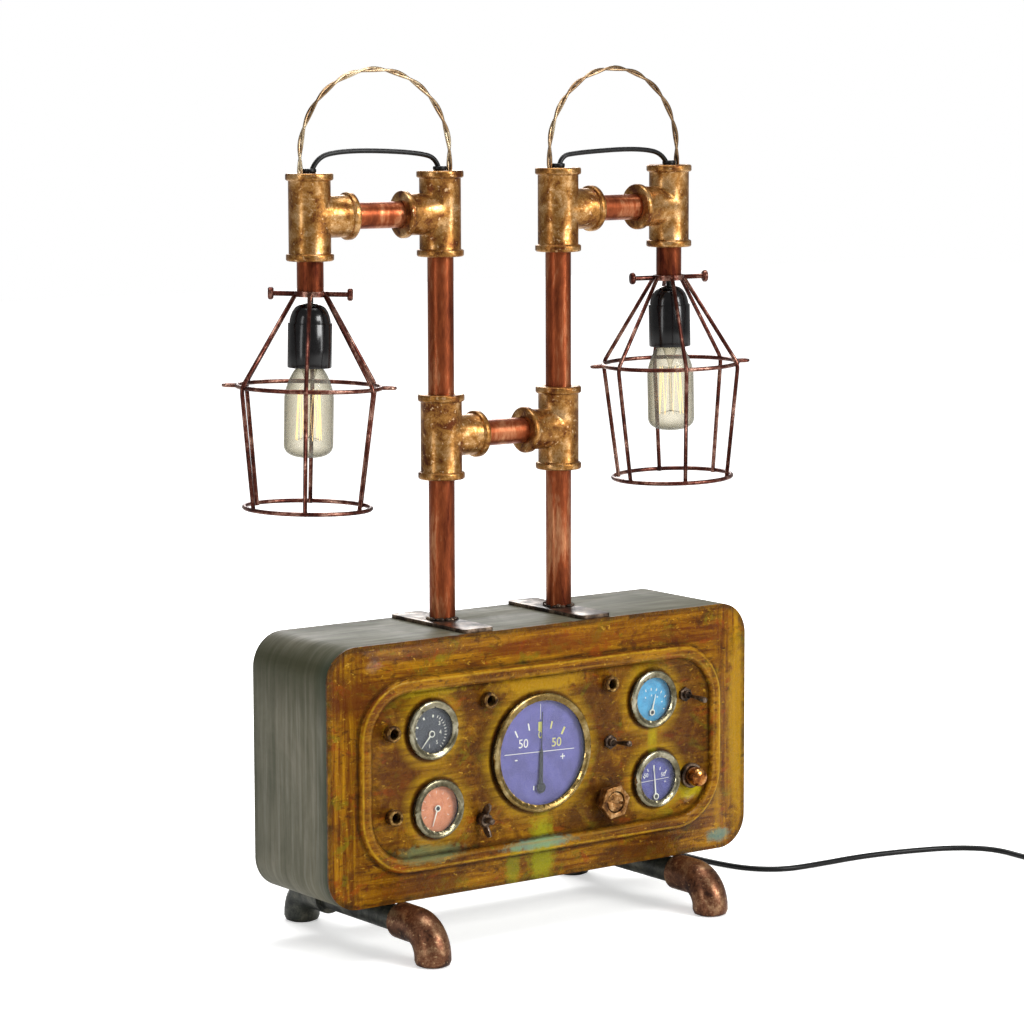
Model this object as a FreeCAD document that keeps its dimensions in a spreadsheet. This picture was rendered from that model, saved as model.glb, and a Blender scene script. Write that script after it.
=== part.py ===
"""Industrial pipe table lamp: a painted instrument case on pipe feet that carries two pipe posts,
each with an arm that swings about its post and holds a caged bulb.

Millimetres. The origin is on the table under the middle of the case, +X to the right along the
case, +Y to its back and +Z up. Every driving dimension stands once in SIZES and goes into the
sheet Dims; sketches, primitives and placements are bound to its cells.
"""
import FreeCAD, Part
import math
import os

import Sketcher
from FreeCAD import Placement, Rotation, Vector

SIZES = {
    # instrument case: a sheet-metal wrap between a pressed front panel and a back cover
    "case_width": 480.0, "case_depth": 122.0, "case_height": 237.5, "case_bottom": 49.0,
    "case_corner": 31.0, "sheet_wall": 2.0, "rim_flange": 9.0,
    "bead_width": 416.0, "bead_height": 178.0, "bead_centre_z": 164.0, "bead_corner": 55.0,
    "bead_band": 13.5, "bead_rise": 4.8, "bead_round": 4.2,
    "cover_screw_thread": 4.0, "cover_screw_head": 8.0, "cover_screw_length": 8.0,
    "cover_screw_inset": 5.5,
    # pipework, brazed fittings and straps
    "pipe_outer": 24.0, "pipe_wall": 2.0, "fit_gap": 0.1, "socket_depth": 15.0,
    "post_spacing": 134.5, "post_y": 7.0, "mid_tee_z": 459.4, "top_tee_z": 663.4,
    "tee_body": 38.0, "tee_rim": 43.0, "rim_band": 6.5, "rim_round": 2.2,
    "tee_half": 39.0, "branch_reach": 42.0, "through_bore": 18.0,
    "strap_width": 34.0, "strap_front_margin": 2.0, "strap_thick": 3.6,
    "strap_shift_x": -5.0, "strap_corner": 5.0,
    # feet: street elbows on two short pipes under the case
    "foot_spread_x": 320.0, "foot_spread_y": 214.6, "elbow_outer": 33.4, "elbow_bend": 25.0,
    "elbow_reach": 49.0, "foot_round": 5.0, "weld_gap": 0.2,
    # swinging arms
    "arm_length": 134.4, "left_arm_angle": 175.0, "right_arm_angle": 1.0, "drop_end_z": 593.5,
    "plug_thick": 3.0, "plug_gap": 0.1, "grommet_outer": 13.0, "grommet_height": 4.0,
    "jumper_outer": 4.6, "left_jumper_rise": 20.0, "right_jumper_rise": 16.5,
    "jumper_shoulder_near": 24.0, "jumper_shoulder_far": 36.4, "jumper_slope": 7.0,
    "jumper_near_slope": 3.0, "jumper_lean": 3.0,
    "hoop_wire": 5.4, "hoop_overhang": 9.6, "hoop_shift_x": -0.4, "hoop_leg": 14.7,
    # lantern: lamp holder, bulb and wire cage
    "lantern_lean": 1.5, "stem_outer": 5.0, "holder_outer": 39.6, "dome_outer": 37.0,
    "holder_top": 9.5, "dome_height": 14.5, "holder_height": 55.0, "holder_wall": 3.0,
    "bulb_outer": 44.6, "bulb_reach": 81.0, "bulb_neck": 34.0, "bulb_wall": 0.9,
    "cap_outer": 26.0, "cap_height": 24.0, "cap_gap": 0.5, "bulb_taper": 20.0,
    "press_drop": 16.0, "filament_height": 36.0, "filament_drop": 4.0, "mount_rod": 1.4,
    "upper_stay": 11.0, "lower_stay": 12.5, "stay_wire": 0.45, "filament_wire": 0.5,
    "cage_wire": 4.0, "collar_outer": 30.0, "collar_height": 5.0, "collar_gap": 0.3,
    "shoulder_radius": 67.5, "shoulder_drop": 81.5, "hem_radius": 57.0, "hem_drop": 190.5,
    "weld_overlap": 0.7, "cage_bend_share": 0.06,
    "ear_reach": 9.0, "ear_width": 9.0, "ear_wire": 3.2,
    "left_cage_angle": 59.5, "right_cage_angle": 63.4,
    "clamp_screw_outer": 4.6, "clamp_head_outer": 11.4, "clamp_head_thick": 5.0,
    "clamp_screw_reach": 38.0, "clamp_gap": 0.3,
    # instruments: outer size of the bezel, then the parts that every instrument repeats
    "large_bezel": 111.0, "small_bezel": 54.0, "bezel_rise": 7.0, "large_lip": 6.8,
    "small_lip": 6.4, "can_inset": 3.2, "can_wall": 1.2, "can_depth": 38.0, "seat_gap": 0.3,
    "can_flange": 1.2, "lens_thick": 2.0, "lens_stand": 2.4, "dial_recess": 0.4,
    "dial_thick": 1.0, "needle_lift": 1.4, "needle_thick": 0.6, "spindle": 1.6,
    "large_x": -6.0, "large_z": 168.5, "large_pivot": -33.5, "large_needle": 71.0,
    "large_root": 4.6, "large_waist": 33.0, "large_neck": 4.0,
    "black_x": -128.5, "black_z": 203.5, "black_pivot": -4.0, "black_needle": 16.5,
    "salmon_x": -122.5, "salmon_z": 130.5, "salmon_pivot": 0.0, "salmon_needle": 17.0,
    "blue_x": 125.0, "blue_z": 204.0, "blue_pivot": -13.0, "blue_needle": 17.5,
    "violet_x": 130.0, "violet_z": 127.0, "violet_pivot": -17.3, "violet_needle": 27.0,
    # switches and fittings of the panel
    "bush_outer": 15.0, "bush_bore": 9.0, "bush_rise": 8.0, "bush_stem": 11.0,
    "bush_stem_length": 6.0, "upper_bush_x": -173.0, "upper_bush_z": 205.0,
    "left_bush_x": -66.0, "right_bush_x": 74.0, "top_bush_z": 224.0,
    "lower_bush_x": -171.5, "lower_bush_z": 128.5,
    "upper_toggle_x": 165.0, "upper_toggle_z": 204.0, "lower_toggle_x": 75.0,
    "lower_toggle_z": 168.5, "toggle_thread": 8.0, "toggle_nut": 12.0, "toggle_nut_thick": 3.0,
    "toggle_rise": 7.0, "toggle_neck_wall": 0.8, "toggle_body": 16.0, "toggle_body_depth": 22.0,
    "lever_root": 3.2,
    "lever_tip": 5.6, "lever_length": 29.0, "lower_toggle_tilt": 6.0, "upper_toggle_tilt": -3.0,
    "button_x": 172.0, "button_z": 125.0, "button_outer": 18.0, "button_rise": 20.0,
    "button_ring": 24.0, "button_ring_rise": 5.0, "button_travel": 5.0, "button_stem": 8.0,
    "selector_x": 72.5, "selector_z": 113.5, "selector_flats": 29.0, "selector_nut_thick": 9.0,
    "selector_neck": 24.0, "selector_neck_rise": 5.0, "selector_bore": 20.4,
    "selector_corner_angle": 9.0, "selector_core": 18.0, "selector_core_rise": 13.0,
    "selector_slot": 2.6,
    "selector_slot_depth": 2.5, "selector_slot_angle": 12.0,
    "wing_x": -73.0, "wing_z": 114.5, "wing_stud": 6.0, "wing_stud_length": 18.0,
    "wing_hub": 12.0, "wing_hub_height": 9.0, "wing_span": 32.0, "wing_thick": 2.4,
    "wing_rise": 15.0, "wing_stand": 3.0,
    # terminal block inside the case, and the mains lead
    "block_length": 44.0, "block_width": 18.0, "block_height": 16.0, "block_x": 110.0,
    "gland_x": 170.0, "gland_z": 74.0, "gland_outer": 20.0, "gland_flats": 22.0,
    "gland_rise": 9.0, "relief_length": 24.0, "relief_root": 12.0, "relief_tip": 7.6,
    "cord_outer": 5.4, "cord_gap": 0.6, "coil_middle": 60.0, "coil_turns": 6.0,
    "coil_x": 602.0, "coil_y": -172.0, "coil_start_angle": 185.0, "coil_tail": 28.0,
    "plug_width": 34.0, "plug_length": 42.0, "pin_outer": 4.0, "pin_length": 19.0,
    "pin_spacing": 18.6, "plug_grip": 14.2, "plug_shoulder": 20.0,
}

# Points of the mains lead on its way from the strain relief to the coil, chosen by hand.
CORD_ROUTE = [
    (170, 94, 74), (172, 112, 71), (180, 132, 58), (194, 148, 36), (212, 158, 12),
    (236, 161, 2.7), (262, 152, 2.7), (282, 128, 2.7), (290, 92, 2.7), (293, 48, 2.7),
    (303, 8, 2.7), (329, -17, 2.7), (372, -19.5, 2.7), (432, -19, 2.7), (488, -30, 2.7),
    (535, -47, 2.7), (562, -77, 2.7), (569, -124, 2.7),
]


class Size:
    """A length that carries its value and the sheet expression that gives it."""

    def __init__(self, value, text):
        self.value = float(value)
        self.text = text

    @staticmethod
    def of(other):
        return other if isinstance(other, Size) else Size(other, repr(float(other)))

    def __add__(self, other):
        other = Size.of(other)
        return Size(self.value + other.value, f"({self.text} + {other.text})")

    def __sub__(self, other):
        other = Size.of(other)
        return Size(self.value - other.value, f"({self.text} - {other.text})")

    def __mul__(self, other):
        other = Size.of(other)
        return Size(self.value * other.value, f"({self.text} * {other.text})")

    def __truediv__(self, other):
        other = Size.of(other)
        return Size(self.value / other.value, f"({self.text} / {other.text})")

    def __radd__(self, other):
        return Size.of(other) + self

    def __rsub__(self, other):
        return Size.of(other) - self

    def __rmul__(self, other):
        return Size.of(other) * self

    def __neg__(self):
        return Size(-self.value, f"(-1 * {self.text})")

    def __float__(self):
        return self.value


doc = FreeCAD.newDocument("PipeLamp")
sheet = doc.addObject("Spreadsheet::Sheet", "Dims")
for row, (alias, number) in enumerate(SIZES.items(), start=1):
    sheet.set(f"A{row}", alias)
    sheet.set(f"B{row}", str(number))
    sheet.setAlias(f"B{row}", alias)
doc.recompute()


class Sheet:
    """Reads the sheet's cells by their alias."""

    def __getattr__(self, alias):
        return Size(getattr(sheet, alias), f"Dims.{alias}")


d = Sheet()
NODES = []


def bind(item, prop, size):
    """Binds a property to the sheet; a plain number is set as it is."""
    item.setExpression(prop, Size.of(size).text)


def place(item, x=0.0, y=0.0, z=0.0, turn=Rotation()):
    """Puts an object where the sheet says, turned as given."""
    spot = [Size.of(part) for part in (x, y, z)]
    item.Placement = Placement(Vector(*[part.value for part in spot]), turn)
    for letter, part in zip("xyz", spot):
        if "Dims" in part.text:
            bind(item, f"Placement.Base.{letter}", part)
    return item


def node(item, label):
    """Names an object as a piece of the lamp that gets a file of its own."""
    item.Label = label
    NODES.append(item)
    return item


# Sketches and features


def body(name):
    return doc.addObject("PartDesign::Body", name)


def sketch(owner, name, role="XY_Plane", lift=None):
    """A sketch on one of the body's own origin planes, lifted off it along its normal."""
    drawing = owner.newObject("Sketcher::SketchObject", name)
    plane = next(f for f in owner.Origin.OriginFeatures if f.Role == role)
    drawing.AttachmentSupport = [(plane, "")]
    drawing.MapMode = "FlatFace"
    if lift is not None:
        bind(drawing, "AttachmentOffset.Base.z", lift)
    return drawing


def pin_point(drawing, geometry, point, x, y):
    """Holds a point of the sketch at (x, y) from the origin."""
    for kind, size in (("DistanceX", Size.of(x)), ("DistanceY", Size.of(y))):
        held = drawing.addConstraint(Sketcher.Constraint(kind, -1, 1, geometry, point, size.value))
        if "Dims" in size.text:
            bind(drawing, f"Constraints[{held}]", size)


def polygon(drawing, corners):
    """A closed outline of straight lines through the corners."""
    spots = [Vector(float(x), float(y), 0) for x, y in corners]
    count = len(spots)
    first = drawing.GeometryCount
    for index, spot in enumerate(spots):
        drawing.addGeometry(Part.LineSegment(spot, spots[(index + 1) % count]), False)
    for index in range(count):
        after = first + (index + 1) % count
        drawing.addConstraint(Sketcher.Constraint("Coincident", first + index, 2, after, 1))
    for index, (x, y) in enumerate(corners):
        pin_point(drawing, first + index, 1, x, y)
    return drawing


def circle(drawing, radius, x=0.0, y=0.0):
    """A circle of a given radius about (x, y)."""
    spot = Vector(float(x), float(y), 0)
    ring = drawing.addGeometry(Part.Circle(spot, Vector(0, 0, 1), float(radius)), False)
    held = drawing.addConstraint(Sketcher.Constraint("Radius", ring, float(radius)))
    bind(drawing, f"Constraints[{held}]", radius)
    pin_point(drawing, ring, 3, x, y)
    return drawing


def rounded_rectangle(drawing, width, height, corner, x=0.0, y=0.0):
    """A rectangle about (x, y) with rounded corners: four lines and four tangent arcs."""
    half_w, half_h, r = float(width) / 2, float(height) / 2, float(corner)
    first = drawing.GeometryCount
    middle = Vector(float(x), float(y), 0)
    signs = [(1, 1), (-1, 1), (-1, -1), (1, -1)]
    centres = [middle + Vector(sx * (half_w - r), sy * (half_h - r), 0) for sx, sy in signs]
    for index, centre in enumerate(centres):
        start = index * math.pi / 2
        arc = Part.ArcOfCircle(Part.Circle(centre, Vector(0, 0, 1), r), start, start + math.pi / 2)
        drawing.addGeometry(arc, False)
    for index, centre in enumerate(centres):
        towards = centres[(index + 1) % 4]
        angle = (index + 1) * math.pi / 2
        out = Vector(math.cos(angle) * r, math.sin(angle) * r, 0)
        drawing.addGeometry(Part.LineSegment(centre + out, towards + out), False)
    for index in range(4):
        arc, line, after = first + index, first + 4 + index, first + (index + 1) % 4
        drawing.addConstraint(Sketcher.Constraint("Tangent", arc, 2, line, 1))
        drawing.addConstraint(Sketcher.Constraint("Tangent", line, 2, after, 1))
        level = "Horizontal" if index % 2 == 0 else "Vertical"
        drawing.addConstraint(Sketcher.Constraint(level, line))
    for index in range(1, 4):
        drawing.addConstraint(Sketcher.Constraint("Equal", first, first + index))
    held = drawing.addConstraint(Sketcher.Constraint("Radius", first, r))
    bind(drawing, f"Constraints[{held}]", corner)
    pin_point(drawing, first, 3, x + width / 2 - corner, y + height / 2 - corner)
    pin_point(drawing, first + 2, 3, x - width / 2 + corner, y - height / 2 + corner)
    return drawing


def pad(owner, drawing, length, both_ways=False):
    feature = owner.newObject("PartDesign::Pad", f"{drawing.Name}Pad")
    feature.Profile = drawing
    bind(feature, "Length", length)
    if both_ways:
        feature.SideType = "Symmetric"
    doc.recompute()
    return feature


def pocket(owner, drawing, length, both_ways=False, forward=False):
    """Cuts a pocket and makes sure that it takes material away."""
    before = owner.Shape.Volume
    feature = owner.newObject("PartDesign::Pocket", f"{drawing.Name}Pocket")
    feature.Profile = drawing
    bind(feature, "Length", length)
    if both_ways:
        feature.SideType = "Symmetric"
    feature.Reversed = forward
    doc.recompute()
    if owner.Shape.Volume >= before:
        raise RuntimeError(f"{feature.Name} cuts nothing")
    return feature


def revolve(owner, drawing):
    """Turns an outline about the sketch's upright axis."""
    feature = owner.newObject("PartDesign::Revolution", f"{drawing.Name}Turn")
    feature.Profile = drawing
    feature.ReferenceAxis = (drawing, ["V_Axis"])
    feature.Angle = 360
    doc.recompute()
    return feature


def turned(name, corners):
    """A body turned from an outline of (radius, height) corners about its own Z axis."""
    owner = body(name)
    revolve(owner, polygon(sketch(owner, f"{name}Outline", "XZ_Plane"), corners))
    return owner


def edges_at(shape, height, longer_than=0.0):
    """Names of the edges that lie flat at one height."""
    names = []
    for index, edge in enumerate(shape.Edges, start=1):
        box = edge.BoundBox
        if abs(box.ZMin - height) < 1e-4 and abs(box.ZMax - height) < 1e-4:
            if edge.Length > longer_than:
                names.append(f"Edge{index}")
    return names


def round_edges(owner, names, radius):
    """Rounds the named edges of a body's last feature."""
    base = owner.Tip
    feature = owner.newObject("PartDesign::Fillet", f"{owner.Name}Round{len(owner.Group)}")
    feature.Base = (base, names)
    bind(feature, "Radius", radius)
    doc.recompute()
    return feature


# Primitives and booleans


def cylinder(name, radius, height, x=0.0, y=0.0, z=0.0, turn=Rotation()):
    rod = doc.addObject("Part::Cylinder", name)
    bind(rod, "Radius", radius)
    bind(rod, "Height", height)
    return place(rod, x, y, z, turn)


def cut(name, base, tool):
    result = doc.addObject("Part::Cut", name)
    result.Base = base
    result.Tool = tool
    return result


def fuse(name, parts):
    result = doc.addObject("Part::MultiFuse", name)
    result.Shapes = parts
    result.Refine = True
    return result


def copies(name, placements_of):
    """A group of separate solids: each (source, placement) pair becomes a linked copy."""
    links = []
    for index, (source, placement) in enumerate(placements_of):
        link = doc.addObject("App::Link", f"{name}Copy{index}")
        link.LinkedObject = source
        link.Placement = placement
        links.append(link)
    group = doc.addObject("Part::Compound", name)
    group.Links = links
    return group


def shaped(name, shape, placement=Placement()):
    """An object whose form comes from sheet values through Part's own functions."""
    item = doc.addObject("Part::Feature", name)
    item.Shape = shape
    item.Placement = placement
    return item


ABOUT_X, ABOUT_Y, ABOUT_Z = Vector(1, 0, 0), Vector(0, 1, 0), Vector(0, 0, 1)
# Pieces of the panel are built lying on their backs, and this stands them up facing -Y.
FACING = Rotation(ABOUT_X, 90)
TO_REAR = Rotation(ABOUT_X, -90)

pipe_r = d.pipe_outer / 2
bore_r = pipe_r + d.fit_gap
panel_front = -d.case_depth / 2
panel_back = panel_front + d.sheet_wall
case_top = d.case_bottom + d.case_height
case_middle = d.case_bottom + d.case_height / 2
strap_length = d.case_depth - d.strap_front_margin
strap_middle_y = d.strap_front_margin / 2
strap_top = case_top + d.strap_thick


# Instrument case


def case_shell():
    """The wrap: a folded band with a lip all round at the front and at the back."""
    depth = d.case_depth - 2 * d.sheet_wall
    wrap = body("CaseWrap")
    outer = sketch(wrap, "WrapOuter")
    rounded_rectangle(outer, d.case_width, d.case_height, d.case_corner)
    pad(wrap, outer, depth)
    mouth = sketch(wrap, "WrapMouth", lift=depth / 2)
    lip = d.rim_flange * 2
    rounded_rectangle(mouth, d.case_width - lip, d.case_height - lip, d.case_corner - d.rim_flange)
    pocket(wrap, mouth, depth + 2, both_ways=True)
    hollow = sketch(wrap, "WrapHollow", lift=depth / 2)
    walls = d.sheet_wall * 2
    corner = d.case_corner - d.sheet_wall
    rounded_rectangle(hollow, d.case_width - walls, d.case_height - walls, corner)
    pocket(wrap, hollow, depth - 2 * d.sheet_wall, both_ways=True)
    place(wrap, 0, -panel_back, case_middle, FACING)
    lead_holes = []
    for side, sign in (("Left", -1), ("Right", 1)):
        lead_holes.append(cylinder(f"{side}LeadHole", d.through_bore / 2, d.sheet_wall * 4,
                                   d.post_spacing * sign / 2, d.post_y, case_top - d.sheet_wall * 2))
    screw_holes = [
        cylinder(f"WrapScrewHole{index}", d.cover_screw_thread / 2 + d.fit_gap, d.sheet_wall * 4,
                 x, -panel_back - d.sheet_wall * 2, z, TO_REAR)
        for index, (x, z) in enumerate(cover_screw_spots())]
    holes = fuse("WrapHoles", lead_holes + screw_holes)
    node(cut("CaseShell", wrap, holes), "case_shell")


def cover_screw_spots():
    """Six screws along the back cover's edge, in the middle of the lip."""
    across = d.case_width / 2 - d.cover_screw_inset
    up = d.case_height / 2 - d.cover_screw_inset
    side = d.case_corner
    return [(across * sx, case_middle + (up - side) * sz) for sx in (-1, 1) for sz in (-1, 1)] + [
        (across * 0.0, case_middle + up * sz) for sz in (-1, 1)]


def front_panel():
    """The pressed panel: flat sheet, a raised race-track bead, and holes for what it carries."""
    panel = body("FrontPanel")
    outline = sketch(panel, "PanelOutline")
    rounded_rectangle(outline, d.case_width, d.case_height, d.case_corner)
    pad(panel, outline, d.sheet_wall)
    lift = d.bead_centre_z - case_middle
    bead = sketch(panel, "PanelBead", lift=d.sheet_wall)
    rounded_rectangle(bead, d.bead_width, d.bead_height, d.bead_corner, 0, lift)
    band = d.bead_band
    rounded_rectangle(bead, d.bead_width - band * 2, d.bead_height - band * 2,
                      d.bead_corner - band, 0, lift)
    pad(panel, bead, d.bead_rise)
    crest = edges_at(panel.Shape, float(d.sheet_wall + d.bead_rise))
    round_edges(panel, crest, d.bead_round)
    groove = sketch(panel, "PanelGroove")
    wall = d.sheet_wall
    rounded_rectangle(groove, d.bead_width - wall * 2, d.bead_height - wall * 2,
                      d.bead_corner - wall, 0, lift)
    inner = (band - wall) * 2
    rounded_rectangle(groove, d.bead_width - inner, d.bead_height - inner,
                      d.bead_corner - band + wall, 0, lift)
    pocket(panel, groove, d.bead_rise, forward=True)
    holes = sketch(panel, "PanelHoles")
    for x, z, radius in panel_holes():
        circle(holes, radius, x, z - case_middle)
    pocket(panel, holes, d.sheet_wall * 2, forward=True)
    place(panel, 0, panel_back, case_middle, FACING)
    node(panel, "front_panel")


def panel_holes():
    """Every hole of the front panel as (x, z, radius)."""
    gap = d.seat_gap
    holes = [(d.large_x, d.large_z, can_radius(d.large_bezel) + gap)]
    for x, z in ((d.black_x, d.black_z), (d.salmon_x, d.salmon_z),
                 (d.blue_x, d.blue_z), (d.violet_x, d.violet_z)):
        holes.append((x, z, can_radius(d.small_bezel) + gap))
    for x, z in bush_spots():
        holes.append((x, z, d.bush_stem / 2 + gap))
    for x, z in toggle_spots():
        holes.append((x, z, d.toggle_thread / 2 + gap))
    holes.append((d.button_x, d.button_z, d.button_outer / 2 + gap * 2))
    holes.append((d.selector_x, d.selector_z, d.selector_bore / 2))
    holes.append((d.wing_x, d.wing_z, d.wing_stud / 2 + gap))
    return holes


def back_cover():
    cover = body("BackCover")
    outline = sketch(cover, "CoverOutline")
    rounded_rectangle(outline, d.case_width, d.case_height, d.case_corner)
    pad(cover, outline, d.sheet_wall)
    holes = sketch(cover, "CoverHoles")
    for x, z in cover_screw_spots():
        circle(holes, d.cover_screw_thread / 2 + d.fit_gap, -1 * x, z - case_middle)
    circle(holes, d.gland_outer / 2 - d.sheet_wall + d.fit_gap, -d.gland_x, d.gland_z - case_middle)
    pocket(cover, holes, d.sheet_wall * 2, forward=True)
    facing_rear = Rotation(ABOUT_Z, 180).multiply(FACING)
    place(cover, 0, -panel_back, case_middle, facing_rear)
    node(cover, "back_cover")


def cover_screws():
    """Pan-head screws of the back cover."""
    shank, head = d.cover_screw_thread / 2, d.cover_screw_head / 2
    source = turned("CoverScrew", [
        (0, -d.cover_screw_length), (shank, -d.cover_screw_length), (shank, 0), (head, 0),
        (head, d.sheet_wall * 0.6), (head * 0.7, d.sheet_wall * 1.4), (0, d.sheet_wall * 1.4)])
    spots = [Placement(Vector(float(x), float(d.case_depth / 2), float(z)), TO_REAR)
             for x, z in cover_screw_spots()]
    node(copies("CoverScrews", [(source, spot) for spot in spots]), "back_cover_screws")


def top_straps():
    """Flat steel straps welded across the top of the case, one under each post."""
    strap = body("TopStrap")
    outline = sketch(strap, "StrapOutline")
    rounded_rectangle(outline, d.strap_width, strap_length, d.strap_corner)
    pad(strap, outline, d.strap_thick)
    hole = sketch(strap, "StrapHole")
    circle(hole, d.through_bore / 2, -d.strap_shift_x, d.post_y - strap_middle_y)
    pocket(strap, hole, d.strap_thick, forward=True)
    spots = []
    for sign in (-1, 1):
        spots.append(Placement(Vector(float(d.post_spacing * sign / 2 + d.strap_shift_x),
                                      float(strap_middle_y), float(case_top)),
                               Rotation()))
    node(copies("TopStraps", [(strap, spot) for spot in spots]), "top_straps")


# Pipework


def pipe(name, length, outer=None):
    """A length of pipe standing on its end, open right through."""
    outside = (outer or d.pipe_outer) / 2
    inside = outside - d.pipe_wall
    return turned(name, [(inside, 0), (outside, 0), (outside, length), (inside, length)])


def tee(name, plugged):
    """A brazed tee along Z with its branch along +X: rolled rims and a shoulder in each socket."""
    body_r, rim_r, half, band = d.tee_body / 2, d.tee_rim / 2, d.tee_half, d.rim_band
    soften = d.rim_round / 2
    run = fuse(f"{name}Run", [
        cylinder(f"{name}Barrel", body_r, half * 2, 0, 0, -half),
        rim(f"{name}TopRim", rim_r, band, soften, 0, half - band, Rotation()),
        rim(f"{name}LowRim", rim_r, band, soften, 0, -half, Rotation()),
        cylinder(f"{name}Branch", body_r, d.branch_reach, 0, 0, 0, Rotation(ABOUT_Y, 90)),
        rim(f"{name}BranchRim", rim_r, band, soften, d.branch_reach - band, 0,
            Rotation(ABOUT_Y, 90))])
    seat = d.socket_depth
    upper = d.plug_thick if plugged else seat
    upper_r = (rim_r - soften * 2 - d.pipe_wall) if plugged else bore_r
    bores = fuse(f"{name}Bores", [
        cylinder(f"{name}Through", d.through_bore / 2, half * 2, 0, 0, -half),
        cylinder(f"{name}LowSocket", bore_r, seat, 0, 0, -half),
        cylinder(f"{name}TopSocket", upper_r, upper, 0, 0, half - upper),
        cylinder(f"{name}SideThrough", d.through_bore / 2, d.branch_reach, 0, 0, 0,
                 Rotation(ABOUT_Y, 90)),
        cylinder(f"{name}SideSocket", bore_r, seat, d.branch_reach - seat, 0, 0,
                 Rotation(ABOUT_Y, 90))])
    return cut(name, run, bores)


def rim(name, radius, band, soften, x, z, turn):
    """The rolled rim of a fitting: a disc whose two edges are eased."""
    ring = turned(name, [
        (0, 0), (radius - soften, 0), (radius, soften), (radius, band - soften),
        (radius - soften, band), (0, band)])
    return place(ring, x, 0, z, turn)


def frame_pipes():
    """Two posts in two lengths each, and the pipe that ties them at mid height."""
    seat, half = d.socket_depth, d.tee_half
    low_from = strap_top
    low_to = d.mid_tee_z - half + seat
    high_from = d.mid_tee_z + half - seat
    high_to = d.top_tee_z - half + seat
    low = pipe("LowerPost", low_to - low_from)
    high = pipe("UpperPost", high_to - high_from)
    tie = pipe("TiePipe", d.post_spacing - (d.branch_reach - seat) * 2)
    parts = []
    for sign in (-1, 1):
        x = float(d.post_spacing * sign / 2)
        parts.append((low, Placement(Vector(x, float(d.post_y), float(low_from)), Rotation())))
        parts.append((high, Placement(Vector(x, float(d.post_y), float(high_from)), Rotation())))
    start = Vector(float(-d.post_spacing / 2 + d.branch_reach - seat), float(d.post_y),
                   float(d.mid_tee_z))
    parts.append((tie, Placement(start, Rotation(ABOUT_Y, 90))))
    node(copies("FramePipes", parts), "frame_pipes")


def mid_tees():
    fitting = tee("MidTee", plugged=False)
    parts = []
    for sign, turn in ((-1, 0), (1, 180)):
        spot = Vector(float(d.post_spacing * sign / 2), float(d.post_y), float(d.mid_tee_z))
        parts.append((fitting, Placement(spot, Rotation(ABOUT_Z, turn))))
    node(copies("MidTees", parts), "mid_tees")


def feet():
    """Street elbows turned down as feet, joined front to back by a pipe under the case."""
    outer = d.elbow_outer / 2
    level = d.case_bottom - d.weld_gap - outer
    drop = level - d.elbow_bend
    straight = d.elbow_reach - d.elbow_bend
    knee = doc.addObject("Part::Torus", "ElbowKnee")
    bind(knee, "Radius1", d.elbow_bend)
    bind(knee, "Radius2", outer)
    knee.Angle3 = 90
    # The knee's centre is behind the leg and below the pipe's axis.
    place(knee, 0, d.elbow_bend, drop, Rotation(ABOUT_Z, -90).multiply(Rotation(ABOUT_X, 90)))
    foot = turned("ElbowFoot", [
        (0, 0), (outer - d.foot_round, 0), (outer - d.foot_round * 0.3, d.foot_round * 0.3),
        (outer, d.foot_round), (outer, drop), (0, drop)])
    arm = cylinder("ElbowArm", outer, straight, 0, d.elbow_bend, level, TO_REAR)
    solid = fuse("ElbowSolid", [knee, foot, arm])
    socket = cylinder("ElbowSocket", bore_r, d.socket_depth, 0, d.elbow_reach - d.socket_depth,
                      level, TO_REAR)
    elbow = cut("FootElbow", solid, socket)
    across, along = float(d.foot_spread_x / 2), float(d.foot_spread_y / 2)
    corners = []
    for sx in (-1, 1):
        for sy, turn in ((-1, 0), (1, 180)):
            corners.append((elbow, Placement(Vector(across * sx, along * sy, 0),
                                             Rotation(ABOUT_Z, turn))))
    node(copies("FootElbows", corners), "foot_elbows")
    length = d.foot_spread_y - (d.elbow_reach - d.socket_depth) * 2
    runner = pipe("FootPipe", length)
    runners = []
    for sx in (-1, 1):
        runners.append((runner, Placement(Vector(across * sx, float(length / -2), float(level)),
                                          TO_REAR)))
    node(copies("FootPipes", runners), "foot_pipes")


# Swinging arms


def arm_frame(side):
    """Where an arm's own frame stands: at its post, +X out along the arm, Z from the tee."""
    sign, angle = (-1, d.left_arm_angle) if side == "left" else (1, d.right_arm_angle)
    spot = Vector(float(d.post_spacing * sign / 2), float(d.post_y), float(d.top_tee_z))
    return Placement(spot, Rotation(ABOUT_Z, float(angle)))


def lantern_frame(side):
    """Frame of a lantern: under the end of the drop pipe, leaning a little outwards."""
    hang = Placement(Vector(float(d.arm_length), 0, float(d.drop_end_z - d.top_tee_z)),
                     Rotation(ABOUT_Y, -float(d.lantern_lean)))
    return arm_frame(side).multiply(hang)


def arm_parts():
    """Pieces that both arms share: fittings, pipes, plugs and grommets."""
    fitting = tee("ArmTee", plugged=True)
    seat, reach = d.socket_depth, d.branch_reach
    nipple = pipe("ArmNipple", d.arm_length - (reach - seat) * 2)
    drop = pipe("DropPipe", d.top_tee_z - d.tee_half + seat - d.drop_end_z)
    plug_r = d.tee_rim / 2 - d.rim_round - d.pipe_wall - d.plug_gap
    plug = turned("TeePlug", [
        (d.grommet_outer / 2 - 2, 0), (plug_r, 0), (plug_r, d.plug_thick),
        (d.grommet_outer / 2 - 2, d.plug_thick)])
    return fitting, nipple, drop, plug


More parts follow.
